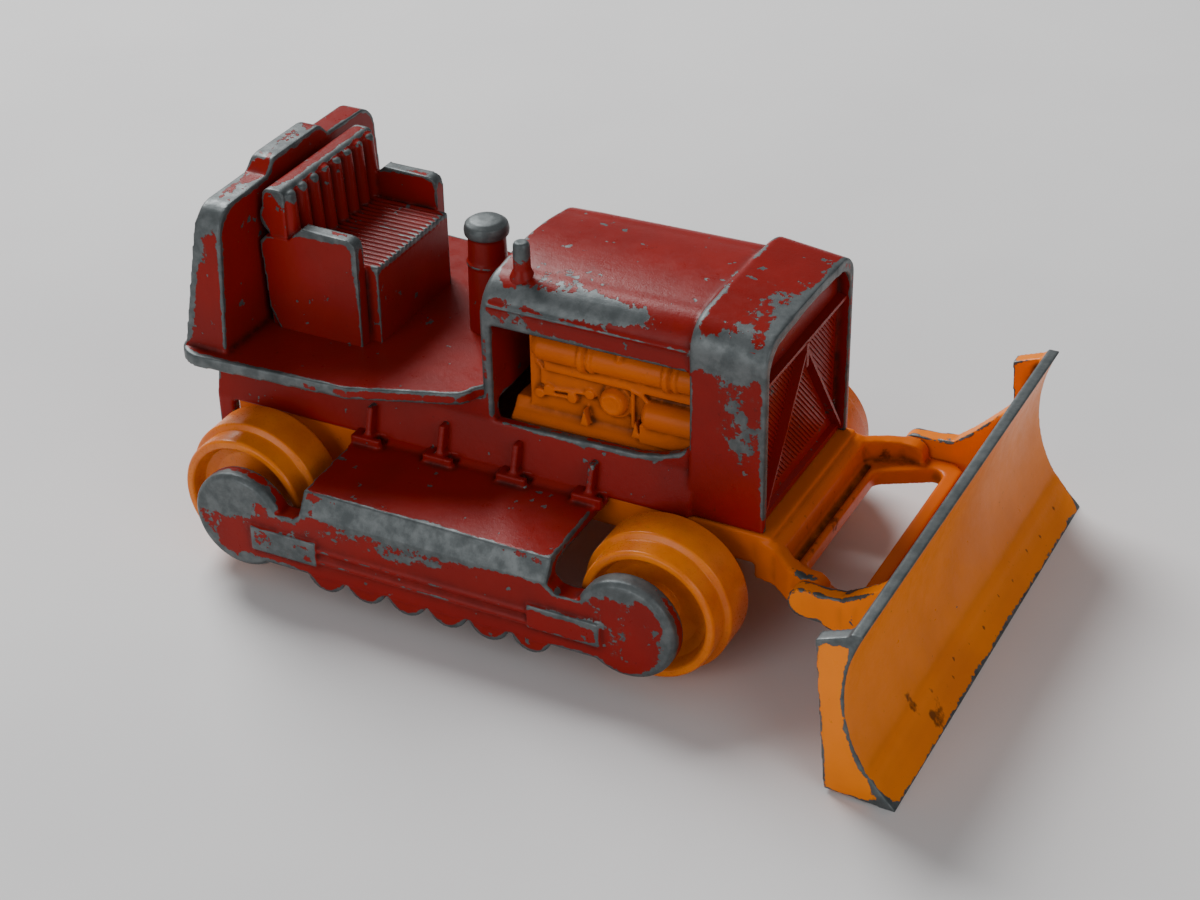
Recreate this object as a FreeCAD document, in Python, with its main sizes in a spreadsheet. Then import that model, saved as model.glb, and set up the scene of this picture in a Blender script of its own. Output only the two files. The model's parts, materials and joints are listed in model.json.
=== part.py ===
import FreeCAD, Part
import os
import re
import Sketcher
from FreeCAD import Placement, Rotation, Vector

# Die-cast toy crawler bulldozer. Millimetres. +X points ahead to the blade, +Y to the driver's
# left, +Z up. The origin lies on the floor, under the middle of the toy's box.

SIZES = {
    # small laps and gaps: how far cast features run into each other, how far cutters run past,
    # and the seam between the two castings
    "lap": 0.2, "past": 1.0, "seam": 0.05,
    # deck: the flat plate that the seat and the rear plate stand on
    "deck_rear": -32.0, "deck_top": 17.2, "deck_thick": 1.0, "deck_rear_half": 13.4,
    "deck_mid": -16.5, "deck_mid_half": 12.6, "deck_front": -8.0, "deck_front_half": 9.4,
    "deck_corner": 2.4,
    # skirt: the side walls under the deck and the hood
    "skirt_rear": -31.6, "skirt_bottom": 10.6, "skirt_half": 8.8, "skirt_wall": 1.1,
    "leg_drop": 2.7, "leg_long": 1.5,
    # hood and its engine window
    "hood_rear": -7.2, "hood_half": 7.95, "hood_top": 27.1, "hood_wall": 0.9, "hood_crown": 2.2,
    "window_rear": -6.4, "window_bottom": 14.4, "window_top": 22.6, "hood_lap": 0.8,
    # where the four corners of a hood section lie, as shares of its shoulder or its half width
    "arch_low": 1.3, "arch_out": 0.35, "arch_mid": 0.45, "arch_high": 0.08, "arch_flat": 0.4,
    # radiator shell and grille
    "shell_rear": 10.2, "shell_front": 16.2, "shell_half": 8.3, "shell_top": 26.6,
    "shell_corner": 2.6, "shell_rim": 0.7, "grille_sink": 1.0, "grille_back": 1.4,
    "rib_wide": 0.7, "rib_stand": 0.7, "grille_bar_height": 22.6, "grille_low": 0.6,
    # seat and the plate behind it
    "seat_front": -18.6, "seat_rear": -26.8, "seat_half": 6.7, "arm_top": 26.3, "arm_wide": 1.2,
    "cushion_front": -17.6, "cushion_top": 23.6, "back_top": 29.2, "back_thick": 2.1,
    "back_round": 0.9, "bench_drop": 0.4, "arm_rear": -23.8, "tail_half": 12.2, "tail_foot": 3.8,
    "tail_rear": -31.5, "tail_head": 2.0, "tail_top": 29.0, "tail_step": 1.2,
    "tail_step_half": 3.3, "tail_round": 1.6,
    # air cleaner on the deck and exhaust stub on the hood
    "cleaner_along": -11.2, "cleaner_across": 0.6, "cleaner_stem": 1.5, "cleaner_cap": 1.75,
    "cleaner_top": 27.2, "cleaner_cap_tall": 1.6, "cleaner_round": 0.6, "stub_along": -4.7,
    "stub_across": -5.6, "stub_radius": 0.65, "stub_top": 29.2, "stub_root": 2.2,
    # track guard and outer track frame
    "guard_rear": -18.2, "guard_front": 3.15, "guard_top": 10.4, "guard_thick": 1.0,
    "frame_outer": 17.8, "frame_inner": 16.1, "frame_low": 2.9, "frame_shoulder": 7.8,
    "guard_fall": 0.2, "guard_slope": 0.8, "guard_band": 1.6, "guard_root": 0.4,
    "boss_middle": -7.3, "boss_span": 33.4, "boss_radius": 4.13,
    "bead_stand": 0.3, "bead_low": 4.0, "bead_high": 6.1, "rear_bead_start": 1.2,
    "rear_bead_end": 1.3, "front_bead_start": 1.6, "front_bead_end": 1.9,
    "line_stand": 0.15, "line_half": 0.15, "line_low": 4.4, "line_high": 5.4, "line_end": 2.2,
    "lobe_first": -16.28, "lobe_pitch": 3.58, "lobe_radius": 1.75, "lobe_rise": 0.45,
    "bracket_first": -16.9, "bracket_pitch": 6.45, "bracket_top": 13.4, "bracket_half": 0.25,
    "bracket_out": 1.0, "bracket_neck": 0.2, "foot_half": 1.3, "foot_out": 0.7, "foot_tall": 0.5,
    # rollers and their axles
    "wheel_middle": -7.6, "wheel_base": 35.3, "flange_radius": 6.0, "tread_radius": 5.45,
    "dish_radius": 4.75, "roller_out": 15.3, "roller_in": 11.0, "flange_edge": 13.4,
    "web_thick": 1.1, "web_set": 0.2, "hub_radius": 1.9, "flange_back": 0.7, "flange_round": 0.4,
    "dish_slope": 0.2, "axle_radius": 0.8, "axle_round": 0.2, "turn_gap": 0.05, "side_gap": 0.15,
    "axle_end": 16.9,
    # base casting: plate, axle lugs, engine and push frame
    "base_rear": -29.8, "base_front": 16.9, "base_half": 8.5, "base_thick": 2.6, "lug_long": 4.4,
    "lug_low": 4.4, "lug_wall": 2.0, "engine_rear": -4.3, "engine_front": 9.6, "engine_half": 5.6,
    "engine_top": 22.9, "ledge_top": 15.0, "ledge_half": 6.6, "ledge_rear": 1.4,
    "manifold_radius": 1.15, "manifold_up": 20.6, "manifold_rear": 0.6, "band_radius": 1.4,
    "band_long": 0.9, "band_first": 0.4, "band_pitch": 7.0, "filter_radius": 1.2,
    "filter_rear": 5.6, "filter_up": 17.0, "pump_radius": 1.0, "pump_along": 2.9,
    "pump_up": 17.3, "pump_out": 1.1,
    "push_top": 8.4, "push_thick": 1.6, "push_rear": 19.3, "push_front": 24.0, "push_bar": 1.3,
    "push_half": 10.8, "push_inner": 7.3, "arm_bend": 0.6, "arm_wall": 1.4,
    "push_corner": 0.8, "sill_top": 10.3, "sill_front": 17.5, "sill_lap": 0.1,
    # blade casting
    "pivot_along": 21.0, "pivot_up": 8.5, "pivot_radius": 1.2, "pip_radius": 0.6, "pip_gap": 0.05,
    "blade_gap": 0.15, "blade_arm": 1.3, "blade_half": 21.2, "blade_top": 14.0,
    "blade_top_along": 29.05, "blade_foot_along": 32.0, "blade_curve": 11.4, "blade_thick": 1.1,
    "wing_thick": 1.2, "wing_rear": 25.6, "wing_rear_top": 12.8, "wing_foot": 1.1,
    "wing_foot_up": 0.3, "gusset_half": 14.4, "gusset_wide": 1.5, "gusset_top": 0.2,
    "gusset_head": 1.0, "gusset_head_drop": 0.4, "arm_knee": 4.0, "arm_belly": 3.7,
    "arm_belly_drop": 2.4, "arm_foot_back": 3.2, "arm_foot_drop": 5.4, "arm_neck": 1.6,
    "arm_turn": 3.4, "arm_reach": 1.8, "pip_deep": 0.8,
    # rivets that hold the base to the body
    "rivet_rear": -22.0, "rivet_front": 12.6, "rivet_radius": 1.1, "rivet_head": 1.9,
    "rivet_head_tall": 0.7, "rivet_round": 0.45, "post_radius": 2.1, "post_tall": 3.4,
    "front_post_tall": 8.0, "tie_half": 0.6,
}
LOBES = 6
BRACKETS = 4
SIDES = (("right", -1), ("left", 1))
WORD = re.compile(r"\b[a-z][a-z_]*\b")

os.makedirs("parts", exist_ok=True)
doc = FreeCAD.newDocument("toy_bulldozer")
sheet = doc.addObject("Spreadsheet::Sheet", "sizes")
for row, (alias, value) in enumerate(SIZES.items(), start=1):
    sheet.set(f"A{row}", alias)
    sheet.set(f"B{row}", str(value))
    sheet.setAlias(f"B{row}", alias)
doc.recompute()


def bound(text):
    """A formula over the sheet's own names, as the document's expressions write it."""
    return WORD.sub(lambda m: f"sizes.{m.group(0)}" if m.group(0) in SIZES else m.group(0), str(text))


def value(text):
    return float(sheet.evalExpression(bound(text)))


def place(item, x="0", y="0", z="0"):
    for axis, text in zip("xyz", (x, y, z)):
        item.setExpression(f"Placement.Base.{axis}", bound(text))
    return item


def box(name, x, y, z):
    """A block between two formulas on each axis."""
    item = doc.addObject("Part::Box", name)
    for prop, (low, high) in zip(("Length", "Width", "Height"), (x, y, z)):
        item.setExpression(prop, bound(f"({high}) - ({low})"))
    return place(item, x[0], y[0], z[0])


def rod(name, axis, radius, start, end, one, two):
    """A cylinder along an axis, from start to end; one and two place it across, in axis order."""
    item = doc.addObject("Part::Cylinder", name)
    item.setExpression("Radius", bound(radius))
    item.setExpression("Height", bound(f"({end}) - ({start})"))
    turns = {"x": Rotation(Vector(0, 1, 0), 90), "y": Rotation(Vector(1, 0, 0), -90), "z": Rotation()}
    item.Placement = Placement(Vector(), turns[axis])
    spots = {"x": (start, one, two), "y": (one, start, two), "z": (one, two, start)}
    return place(item, *spots[axis])


def body(name):
    return doc.addObject("PartDesign::Body", name)


def plane(owner, role):
    return next(f for f in owner.Origin.OriginFeatures if f.Role == role)


def pin(sketch, geo, end, x, y):
    """Hold one end of a sketch line at two formulas."""
    for kind, text in (("DistanceX", x), ("DistanceY", y)):
        index = sketch.addConstraint(Sketcher.Constraint(kind, -1, 1, geo, end, value(text)))
        sketch.setExpression(f"Constraints[{index}]", bound(text))


def outline(owner, role, points, offset="0"):
    """A closed sketch through points given as pairs of formulas, on one of the body's planes."""
    sketch = owner.newObject("Sketcher::SketchObject", f"{owner.Name}_outline")
    sketch.AttachmentSupport = (plane(owner, role), "")
    sketch.MapMode = "FlatFace"
    sketch.setExpression("AttachmentOffset.Base.z", bound(offset))
    spots = [Vector(value(x), value(y), 0) for x, y in points]
    for here, there in zip(spots, spots[1:] + spots[:1]):
        sketch.addGeometry(Part.LineSegment(here, there), False)
    for index in range(len(points)):
        after = (index + 1) % len(points)
        sketch.addConstraint(Sketcher.Constraint("Coincident", index, 2, after, 1))
    for index, (x, y) in enumerate(points):
        pin(sketch, index, 1, x, y)
    return sketch


def slab(name, role, points, low, high):
    """An outline padded from low to high along its plane's axis."""
    owner = body(name)
    offset = f"-({high})" if role == "XZ_Plane" else low
    pad = owner.newObject("PartDesign::Pad", f"{name}_pad")
    pad.Profile = outline(owner, role, points, offset)
    pad.setExpression("Length", bound(f"({high}) - ({low})"))
    return owner


def turned(name, points):
    """A piece turned about an axis along Y: points are pairs of radius and place along the axis."""
    owner = body(name)
    sketch = outline(owner, "XY_Plane", points)
    spin = owner.newObject("PartDesign::Revolution", f"{name}_turn")
    spin.Profile = sketch
    spin.ReferenceAxis = (sketch, ["V_Axis"])
    spin.Angle = 360
    return owner


def join(name, *items):
    item = doc.addObject("Part::MultiFuse", name)
    item.Shapes = list(items)
    item.Refine = True
    return item


def cut(name, base, *tools):
    item = doc.addObject("Part::Cut", name)
    item.Base = base
    item.Tool = tools[0] if len(tools) == 1 else join(f"{name}_tools", *tools)
    item.Refine = True
    return item


def common(name, *items):
    item = doc.addObject("Part::MultiCommon", name)
    item.Shapes = list(items)
    item.Refine = True
    return item


def rounded(name, base, radius, test):
    """Round the edges of base whose middle and ends pass the test."""
    doc.recompute()
    item = doc.addObject("Part::Fillet", name)
    item.Base = base
    size = value(radius)
    chosen = [n for n, edge in enumerate(base.Shape.Edges, start=1) if test(edge)]
    item.Edges = [(n, size, size) for n in chosen]
    return item


def along(edge, axis):
    ends = [v.Point for v in edge.Vertexes]
    if len(ends) != 2:
        return False
    way = ends[1] - ends[0]
    return abs(abs(way.dot(axis)) - way.Length) < 1e-6


X, Y, Z = Vector(1, 0, 0), Vector(0, 1, 0), Vector(0, 0, 1)


def mirrored(points):
    """Both halves of an outline that is even about its first axis of half widths."""
    return [(x, y) for x, y in points] + [(f"-({x})", y) for x, y in reversed(points)]


def toward(sign, text):
    """A distance from the middle plane, to the left or the right."""
    return text if sign > 0 else f"-({text})"


def span(sign, low, high):
    """Low and high distances from the middle plane, as a pair in rising Y."""
    return (low, high) if sign > 0 else (f"-({high})", f"-({low})")


# ---- body casting ------------------------------------------------------------------------------


def deck():
    edge = [("deck_rear", "deck_rear_half"), ("deck_mid", "deck_mid_half"),
            ("deck_front", "deck_front_half")]
    points = edge + [(x, f"-({y})") for x, y in reversed(edge)]
    plate = slab("deck_plate", "XY_Plane", points, "deck_top - deck_thick", "deck_top")
    rear = value("deck_mid") - 1
    return rounded("deck", plate, "deck_corner", lambda e: along(e, Z) and e.CenterOfMass.x < rear)


def skirts():
    """The leaning side walls, the upright walls under the deck, the rear legs and the back wall."""
    pieces = []
    deck_wall = ("min(window_bottom; deck_top - deck_thick - lap)", "deck_top - deck_thick")
    for side, sign in SIDES:
        tilted = [(toward(sign, "skirt_half"), "skirt_bottom"),
                  (toward(sign, "hood_half"), "window_bottom"),
                  (toward(sign, "hood_half - skirt_wall"), "window_bottom"),
                  (toward(sign, "skirt_half - skirt_wall"), "skirt_bottom")]
        pieces.append(slab(f"{side}_skirt", "YZ_Plane", tilted, "skirt_rear", "shell_rear"))
        pieces.append(box(f"{side}_deck_wall", ("skirt_rear", "hood_rear"),
                          span(sign, "hood_half - skirt_wall", "hood_half"),
                          deck_wall))
        pieces.append(box(f"{side}_leg", ("skirt_rear", "skirt_rear + leg_long"),
                          span(sign, "skirt_half - skirt_wall", "skirt_half"),
                          ("skirt_bottom - leg_drop", "skirt_bottom")))
    pieces.append(box("back_wall", ("skirt_rear", "skirt_rear + skirt_wall"),
                      ("-hood_half", "hood_half"), ("skirt_bottom", "deck_top - deck_thick")))
    return pieces


def arch(name, half, top, corner, low, start, end):
    """A hood section: upright sides, cut shoulders and a flat top, run along X."""
    points = mirrored([(half, low), (half, f"({top}) - arch_low * {corner}"),
                       (f"({half}) - arch_out * {corner}", f"({top}) - arch_mid * {corner}"),
                       (f"({half}) - {corner}", f"({top}) - arch_high * {corner}"),
                       (f"arch_flat * ({half})", top)])
    return slab(name, "YZ_Plane", points, start, end)


def hood():
    outside = arch("hood_outside", "hood_half", "hood_top", "hood_crown", "window_bottom - hood_lap",
                   "hood_rear", "shell_rear")
    inside = arch("hood_inside", "hood_half - hood_wall", "hood_top - hood_wall",
                  "hood_crown", "window_bottom - hood_lap - past", "hood_rear + hood_wall",
                  "shell_rear + past")
    window = box("engine_window", ("window_rear", "shell_rear"), ("-hood_half - past", "hood_half + past"),
                 ("window_bottom", "window_top"))
    return cut("hood", outside, inside, window)


def grille_ribs():
    face = "shell_front - grille_sink"
    front = f"{face} + rib_stand"
    inner = "shell_half - shell_rim"
    low = "skirt_bottom + grille_low"
    bar = box("grille_bar", (face, front), (f"-({inner})", inner),
              ("grille_bar_height - rib_wide", "grille_bar_height"))
    ribs = [bar]
    for side, sign in SIDES:
        points = [("0", "grille_bar_height - rib_wide / 2"), (toward(sign, inner), low),
                  (toward(sign, f"{inner} - 1.3 * rib_wide"), low),
                  ("0", "grille_bar_height - 2.6 * rib_wide")]
        ribs.append(slab(f"{side}_grille_rib", "YZ_Plane", points, face, front))
    return ribs


def radiator_shell():
    outside = arch("shell_outside", "shell_half", "shell_top", "shell_corner", "skirt_bottom",
                   "shell_rear", "shell_front")
    mouth = arch("shell_mouth", "shell_half - shell_rim", "shell_top - shell_rim", "shell_corner",
                 "skirt_bottom - past", "shell_front - grille_sink", "shell_front + past")
    hollow = arch("shell_hollow", "shell_half - hood_wall", "shell_top - hood_wall", "shell_corner",
                  "skirt_bottom - past", "shell_rear - past",
                  "shell_front - grille_sink - grille_back")
    return cut("radiator_shell", outside, mouth, hollow)


def tail_plate():
    """The upright plate behind the seat, thinner at its top, with a raised middle."""
    low = "deck_top - lap"
    side_view = [("tail_rear", low), ("tail_rear + tail_foot", low),
                 ("tail_rear + tail_foot", "tail_top + tail_step"),
                 ("tail_rear + tail_foot - tail_head", "tail_top + tail_step")]
    wedge = slab("tail_wedge", "XZ_Plane", side_view, "-tail_half", "tail_half")
    face_view = mirrored([("tail_half", low), ("tail_half", "tail_top - tail_round"),
                          ("tail_half - 0.3 * tail_round", "tail_top - 0.3 * tail_round"),
                          ("tail_half - tail_round", "tail_top"), ("tail_step_half + tail_step", "tail_top"),
                          ("tail_step_half", "tail_top + tail_step")])
    face = slab("tail_face", "YZ_Plane", face_view, "tail_rear - past",
                "tail_rear + tail_foot + past")
    return common("tail_plate", wedge, face)


def seat():
    low = "deck_top - lap"
    back = box("seat_back_block", ("seat_rear", "seat_rear + back_thick"), ("-seat_half", "seat_half"),
               (low, "back_top"))
    back = rounded("seat_back", back, "min(back_round; 0.45 * back_thick)",
                   lambda e: e.CenterOfMass.z > value("back_top - lap") and not along(e, Z))
    bench = box("seat_bench", ("seat_rear", "seat_front"), ("-seat_half", "seat_half"),
                (low, "cushion_top - bench_drop"))
    cushion = box("seat_cushion", ("seat_rear + back_thick - lap", "cushion_front"),
                  ("-seat_half + arm_wide", "seat_half - arm_wide"), (low, "cushion_top"))
    pieces = [back, bench, cushion]
    for side, sign in SIDES:
        pieces.append(box(f"{side}_seat_arm", ("arm_rear", "seat_front"),
                          span(sign, "seat_half - arm_wide", "seat_half"),
                          ("cushion_top - bench_drop - lap", "arm_top")))
    return pieces


def stacks():
    stem = rod("cleaner_stem_rod", "z", "cleaner_stem", "deck_top - lap",
               "cleaner_top - cleaner_cap_tall + lap", "cleaner_along", "cleaner_across")
    cap = rod("cleaner_cap_rod", "z", "cleaner_cap", "cleaner_top - cleaner_cap_tall", "cleaner_top",
              "cleaner_along", "cleaner_across")
    cap = rounded("cleaner_cap_round", cap, "cleaner_round",
                  lambda e: e.CenterOfMass.z > value("cleaner_top - lap"))
    stub = rod("exhaust_rod", "z", "stub_radius", "hood_top - stub_root", "stub_top", "stub_along",
               "stub_across")
    return [stem, cap, stub]


REAR_BOSS = "boss_middle - boss_span / 2"
FRONT_BOSS = "boss_middle + boss_span / 2"


def track_guard(side, sign):
    """The flat guard over the track, rooted in the skirt, with its chamfered outer band."""
    section = [("base_half + seam", "skirt_bottom + guard_root"),
               ("skirt_half + seam", "skirt_bottom + guard_root"),
               ("skirt_half + guard_root", "guard_top"),
               ("frame_outer - guard_slope", "guard_top - guard_fall"),
               ("frame_outer", "guard_top - guard_band"), ("frame_outer", "frame_shoulder - lap"),
               ("frame_inner", "frame_shoulder - lap"),
               ("frame_inner", "guard_top - guard_thick - guard_fall"),
               ("base_half + seam", "guard_top - guard_thick")]
    section = [(toward(sign, y), z) for y, z in section]
    return slab(f"{side}_guard", "YZ_Plane", section, "guard_rear", "guard_front")


def outer_frame(side, sign):
    """The track frame's plate with its end bosses and the half-round lobes under it."""
    wall = span(sign, "frame_inner", "frame_outer")
    pieces = [box(f"{side}_frame_plate", (REAR_BOSS, FRONT_BOSS), wall,
                  ("frame_low", "frame_shoulder - lap"))]
    for end, spot in (("rear", REAR_BOSS), ("front", FRONT_BOSS)):
        pieces.append(rod(f"{side}_{end}_boss", "y", "boss_radius", *wall, spot, "flange_radius"))
    for index in range(LOBES):
        pieces.append(rod(f"{side}_lobe_{index + 1}", "y", "lobe_radius", *wall,
                          f"lobe_first + {index} * lobe_pitch", "frame_low + lobe_rise"))
    return pieces


def frame_beads(side, sign):
    """The two raised bars and the two thin lines on the frame's outer face."""
    proud = span(sign, "frame_outer - lap", "frame_outer + bead_stand")
    thin = span(sign, "frame_outer - lap", "frame_outer + line_stand")
    rear_end = "guard_rear + rear_bead_end"
    pieces = [box(f"{side}_rear_bead", (f"{REAR_BOSS} + rear_bead_start", rear_end), proud,
                  ("bead_low", "bead_high")),
              box(f"{side}_front_bead", ("guard_front - front_bead_start",
                                         f"{FRONT_BOSS} - front_bead_end"), proud,
                  ("bead_low", "bead_high"))]
    for level in ("line_low", "line_high"):
        pieces.append(box(f"{side}_{level}", (rear_end, "guard_front - line_end"), thin,
                          (f"{level} - line_half", f"{level} + line_half")))
    return pieces


def brackets(side, sign):
    """Small upright webs between the guard and the skirt, each with a foot along the skirt."""
    web = [("skirt_half - lap", "guard_top"), ("skirt_half + bracket_out", "guard_top - lap"),
           ("skirt_half + bracket_neck", "bracket_top"), ("hood_half - lap", "bracket_top")]
    web = [(toward(sign, y), z) for y, z in web]
    pieces = []
    for index in range(BRACKETS):
        spot = f"bracket_first + {index} * bracket_pitch"
        pieces.append(slab(f"{side}_bracket_{index + 1}", "YZ_Plane", web,
                           f"{spot} - bracket_half", f"{spot} + bracket_half"))
        pieces.append(box(f"{side}_foot_{index + 1}", (f"{spot} - foot_half", f"{spot} + foot_half"),
                          span(sign, "skirt_half - lap", "skirt_half + foot_out"),
                          ("guard_top - lap", "guard_top + foot_tall")))
    return pieces


def track_side(side, sign):
    return [track_guard(side, sign), *outer_frame(side, sign), *frame_beads(side, sign),
            *brackets(side, sign)]


def axle_slots(side, sign):
    """Slots in the frame's inner face that the axle ends drop into from below."""
    tools = []
    wall = span(sign, "frame_inner - lap", "axle_end + side_gap")
    for end, way in (("rear", "-"), ("front", "+")):
        spot = f"wheel_middle {way} wheel_base / 2"
        gap = "(axle_radius + turn_gap)"
        tools.append(rod(f"{side}_{end}_seat", "y", gap, *wall, spot, "flange_radius"))
        tools.append(box(f"{side}_{end}_slot", (f"{spot} - {gap}", f"{spot} + {gap}"), wall,
                         ("flange_radius - boss_radius - past", "flange_radius")))
    return tools


def posts():
    """Bosses under the deck and in the radiator shell that the rivets go up into."""
    tops = {"rear": "deck_top - deck_thick + lap", "front": "skirt_bottom + front_post_tall"}
    pieces, holes = [], []
    for end, spot in (("rear", "rivet_rear"), ("front", "rivet_front")):
        pieces.append(rod(f"{end}_post", "z", "post_radius", "skirt_bottom",
                          tops[end], spot, "0"))
        holes.append(rod(f"{end}_post_hole", "z", "rivet_radius", "skirt_bottom - past",
                         "skirt_bottom + post_tall", spot, "0"))
    tie = box("front_post_tie", ("rivet_front", "shell_front - grille_sink - lap"),
              ("-tie_half", "tie_half"), ("skirt_bottom", "skirt_bottom + front_post_tall"))
    return pieces + [tie], holes


def body_casting():
    post_pieces, post_holes = posts()
    pieces = [deck(), *skirts(), hood(), radiator_shell(), *grille_ribs(), tail_plate(), *seat(),
              *stacks(), *post_pieces]
    tools = list(post_holes)
    for side, sign in SIDES:
        pieces += track_side(side, sign)
        tools += axle_slots(side, sign)
    return cut("body_casting", join("body_metal", *pieces), *tools)


# ---- base casting ------------------------------------------------------------------------------


def engine():
    """The engine block on its ledge, with a manifold, a filter and a pump on each side."""
    low = "skirt_bottom - lap"
    pieces = [box("engine_block", ("engine_rear", "engine_front"), ("-engine_half", "engine_half"),
                  (low, "engine_top")),
              box("engine_ledge", ("engine_rear - ledge_rear", "engine_front"),
                  ("-ledge_half", "ledge_half"), (low, "ledge_top"))]
    for side, sign in SIDES:
        face = toward(sign, "engine_half")
        pieces.append(rod(f"{side}_manifold", "x", "manifold_radius", "engine_rear + manifold_rear",
                          "engine_front", face, "manifold_up"))
        for index in range(2):
            start = f"band_first + {index} * band_pitch"
            pieces.append(rod(f"{side}_band_{index + 1}", "x", "band_radius", start,
                              f"{start} + band_long", face, "manifold_up"))
        pieces.append(rod(f"{side}_filter", "x", "filter_radius", "filter_rear", "engine_front", face,
                          "filter_up"))
        pieces.append(rod(f"{side}_pump", "y", "pump_radius",
                          *span(sign, "engine_half - past", "engine_half + pump_out"),
                          "pump_along", "pump_up"))
    return pieces


def push_frame():
    """The ring ahead of the body: cross-member, two arms and a front bar."""
    start = "base_front - sill_lap"
    ring = mirrored([("base_half", start), ("push_half", "pivot_along - arm_bend"),
                     ("push_half", "push_front + push_bar - push_corner"),
                     ("push_half - push_corner", "push_front + push_bar")])
    ring = [(y, x) for x, y in ring]
    plate = slab("push_plate", "XY_Plane", ring, "push_top - push_thick", "push_top")
    window = mirrored([("push_inner", "push_rear"), ("push_half - push_bar", "push_front")])
    window = [(y, x) for x, y in window]
    opening = slab("push_window", "XY_Plane", window, "push_top - push_thick - past",
                   "push_top + past")
    frame = cut("push_ring", plate, opening)
    pieces = [frame, box("front_sill", (start, "sill_front"), ("-base_half", "base_half"),
                         ("push_top - push_thick", "sill_top"))]
    for side, sign in SIDES:
        rib = [(start, "push_inner + lap"), (start, "base_half"),
               ("pivot_along - arm_bend", "push_half"), ("pivot_along + pivot_radius", "push_half"),
               ("pivot_along + pivot_radius", "push_half - arm_wall"),
               ("pivot_along - arm_bend + lap", "push_half - arm_wall")]
        rib = [(x, toward(sign, y)) for x, y in rib]
        rib = slab(f"{side}_rib_plan", "XY_Plane", rib, "push_top - lap", "pivot_up + pivot_radius")
        reach = span(sign, "0", "push_half + past")
        keep = [box(f"{side}_rib_keep", ("base_front - past", "pivot_along"), reach,
                    ("push_top - past", "pivot_up + pivot_radius")),
                rod(f"{side}_rib_nose", "y", "pivot_radius", *reach, "pivot_along", "pivot_up")]
        pieces.append(common(f"{side}_rib", rib, join(f"{side}_rib_shape", *keep)))
    sockets = [rod(f"{side}_pip_hole", "y", "pip_radius + pip_gap",
                   *span(sign, "push_half - pip_deep - lap", "push_half + past"), "pivot_along",
                   "pivot_up")
               for side, sign in SIDES]
    return pieces, sockets


def base_casting():
    top = "skirt_bottom"
    plate = box("base_plate", ("base_rear", "base_front"), ("-base_half", "base_half"),
                (f"{top} - base_thick", top))
    pieces = [plate, *engine()]
    holes = []
    for end, way in (("rear", "-"), ("front", "+")):
        spot = f"wheel_middle {way} wheel_base / 2"
        for side, sign in SIDES:
            pieces.append(box(f"{side}_{end}_lug", (f"{spot} - lug_long / 2", f"{spot} + lug_long / 2"),
                              span(sign, "base_half - lug_wall", "base_half"), ("lug_low", top)))
        holes.append(rod(f"{end}_axle_hole", "y", "axle_radius + turn_gap", "-base_half - past",
                         "base_half + past", spot, "flange_radius"))
        holes.append(rod(f"{end}_rivet_hole", "z", "rivet_radius", f"{top} - base_thick - past",
                         f"{top} + past", f"rivet_{end}", "0"))
    ring, sockets = push_frame()
    return cut("base_casting", join("base_metal", *pieces, *ring), *holes, *sockets)


# ---- blade casting -----------------------------------------------------------------------------


CHORD = "sqrt((blade_foot_along - blade_top_along)^2 + blade_top^2)"
RISE = f"sqrt(blade_curve^2 - {CHORD}^2 / 4)"
CURVE_ALONG = f"(blade_top_along + blade_foot_along) / 2 + {RISE} * blade_top / {CHORD}"
CURVE_UP = f"blade_top / 2 + {RISE} * (blade_foot_along - blade_top_along) / {CHORD}"


def curve_rod(name, radius, half):
    return rod(name, "y", radius, f"-({half})", half, CURVE_ALONG, CURVE_UP)


def mouldboard():
    """The curved blade: a slice of a tube whose axis lies ahead of it."""
    tube = cut("blade_tube", curve_rod("blade_tube_out", "blade_curve + blade_thick", "blade_half"),
               curve_rod("blade_tube_in", "blade_curve", "blade_half + past"))
    return common("mouldboard", tube, box("blade_slice", ("wing_rear", CURVE_ALONG),
                                          ("-blade_half", "blade_half"), ("0", "blade_top")))


def wing(side, sign):
    """The flat end plate behind the blade."""
    view = [("wing_rear", "wing_rear_top"), ("blade_top_along", "blade_top"),
            ("blade_foot_along", "0"), ("wing_rear + wing_foot", "wing_foot_up")]
    return slab(f"{side}_wing", "XZ_Plane", view, *span(sign, "blade_half - wing_thick", "blade_half"))


def blade_arm(side, sign):
    """One arm: a round eye at the pivot that widens into a gusset up the back of the blade."""
    low = "pivot_up - pivot_radius"
    high = "pivot_up + pivot_radius"
    side_view = [("pivot_along", low), ("pivot_along + arm_neck", low),
                 ("pivot_along + arm_belly", "pivot_up - arm_belly_drop"),
                 ("blade_foot_along - arm_foot_back", "pivot_up - arm_foot_drop"),
                 ("blade_top_along", "blade_top - gusset_top"),
                 ("blade_top_along - gusset_head", "blade_top - gusset_head_drop"),
                 ("pivot_along + arm_knee", f"{high} + lap"), ("pivot_along", high)]
    reach = span(sign, "push_half", "gusset_half + past")
    tall = slab(f"{side}_arm_side", "XZ_Plane", side_view, *reach)
    eye = rod(f"{side}_arm_eye", "y", "pivot_radius", *reach, "pivot_along", "pivot_up")
    inner = "push_half + blade_gap"
    start = "pivot_along - pivot_radius - lap"
    plan = [(start, inner), ("push_front + arm_reach", inner),
            ("blade_top_along", "gusset_half - gusset_wide"), ("blade_top_along", "gusset_half"),
            ("pivot_along + arm_turn", f"{inner} + blade_arm + lap"), (start, f"{inner} + blade_arm")]
    plan = [(x, toward(sign, y)) for x, y in plan]
    plan = slab(f"{side}_arm_plan", "XY_Plane", plan, "0", "blade_top")
    pip = rod(f"{side}_pip", "y", "pip_radius", *span(sign, "push_half - pip_deep", f"{inner} + lap"),
              "pivot_along", "pivot_up")
    return [common(f"{side}_arm", join(f"{side}_arm_tall", tall, eye), plan), pip]


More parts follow.
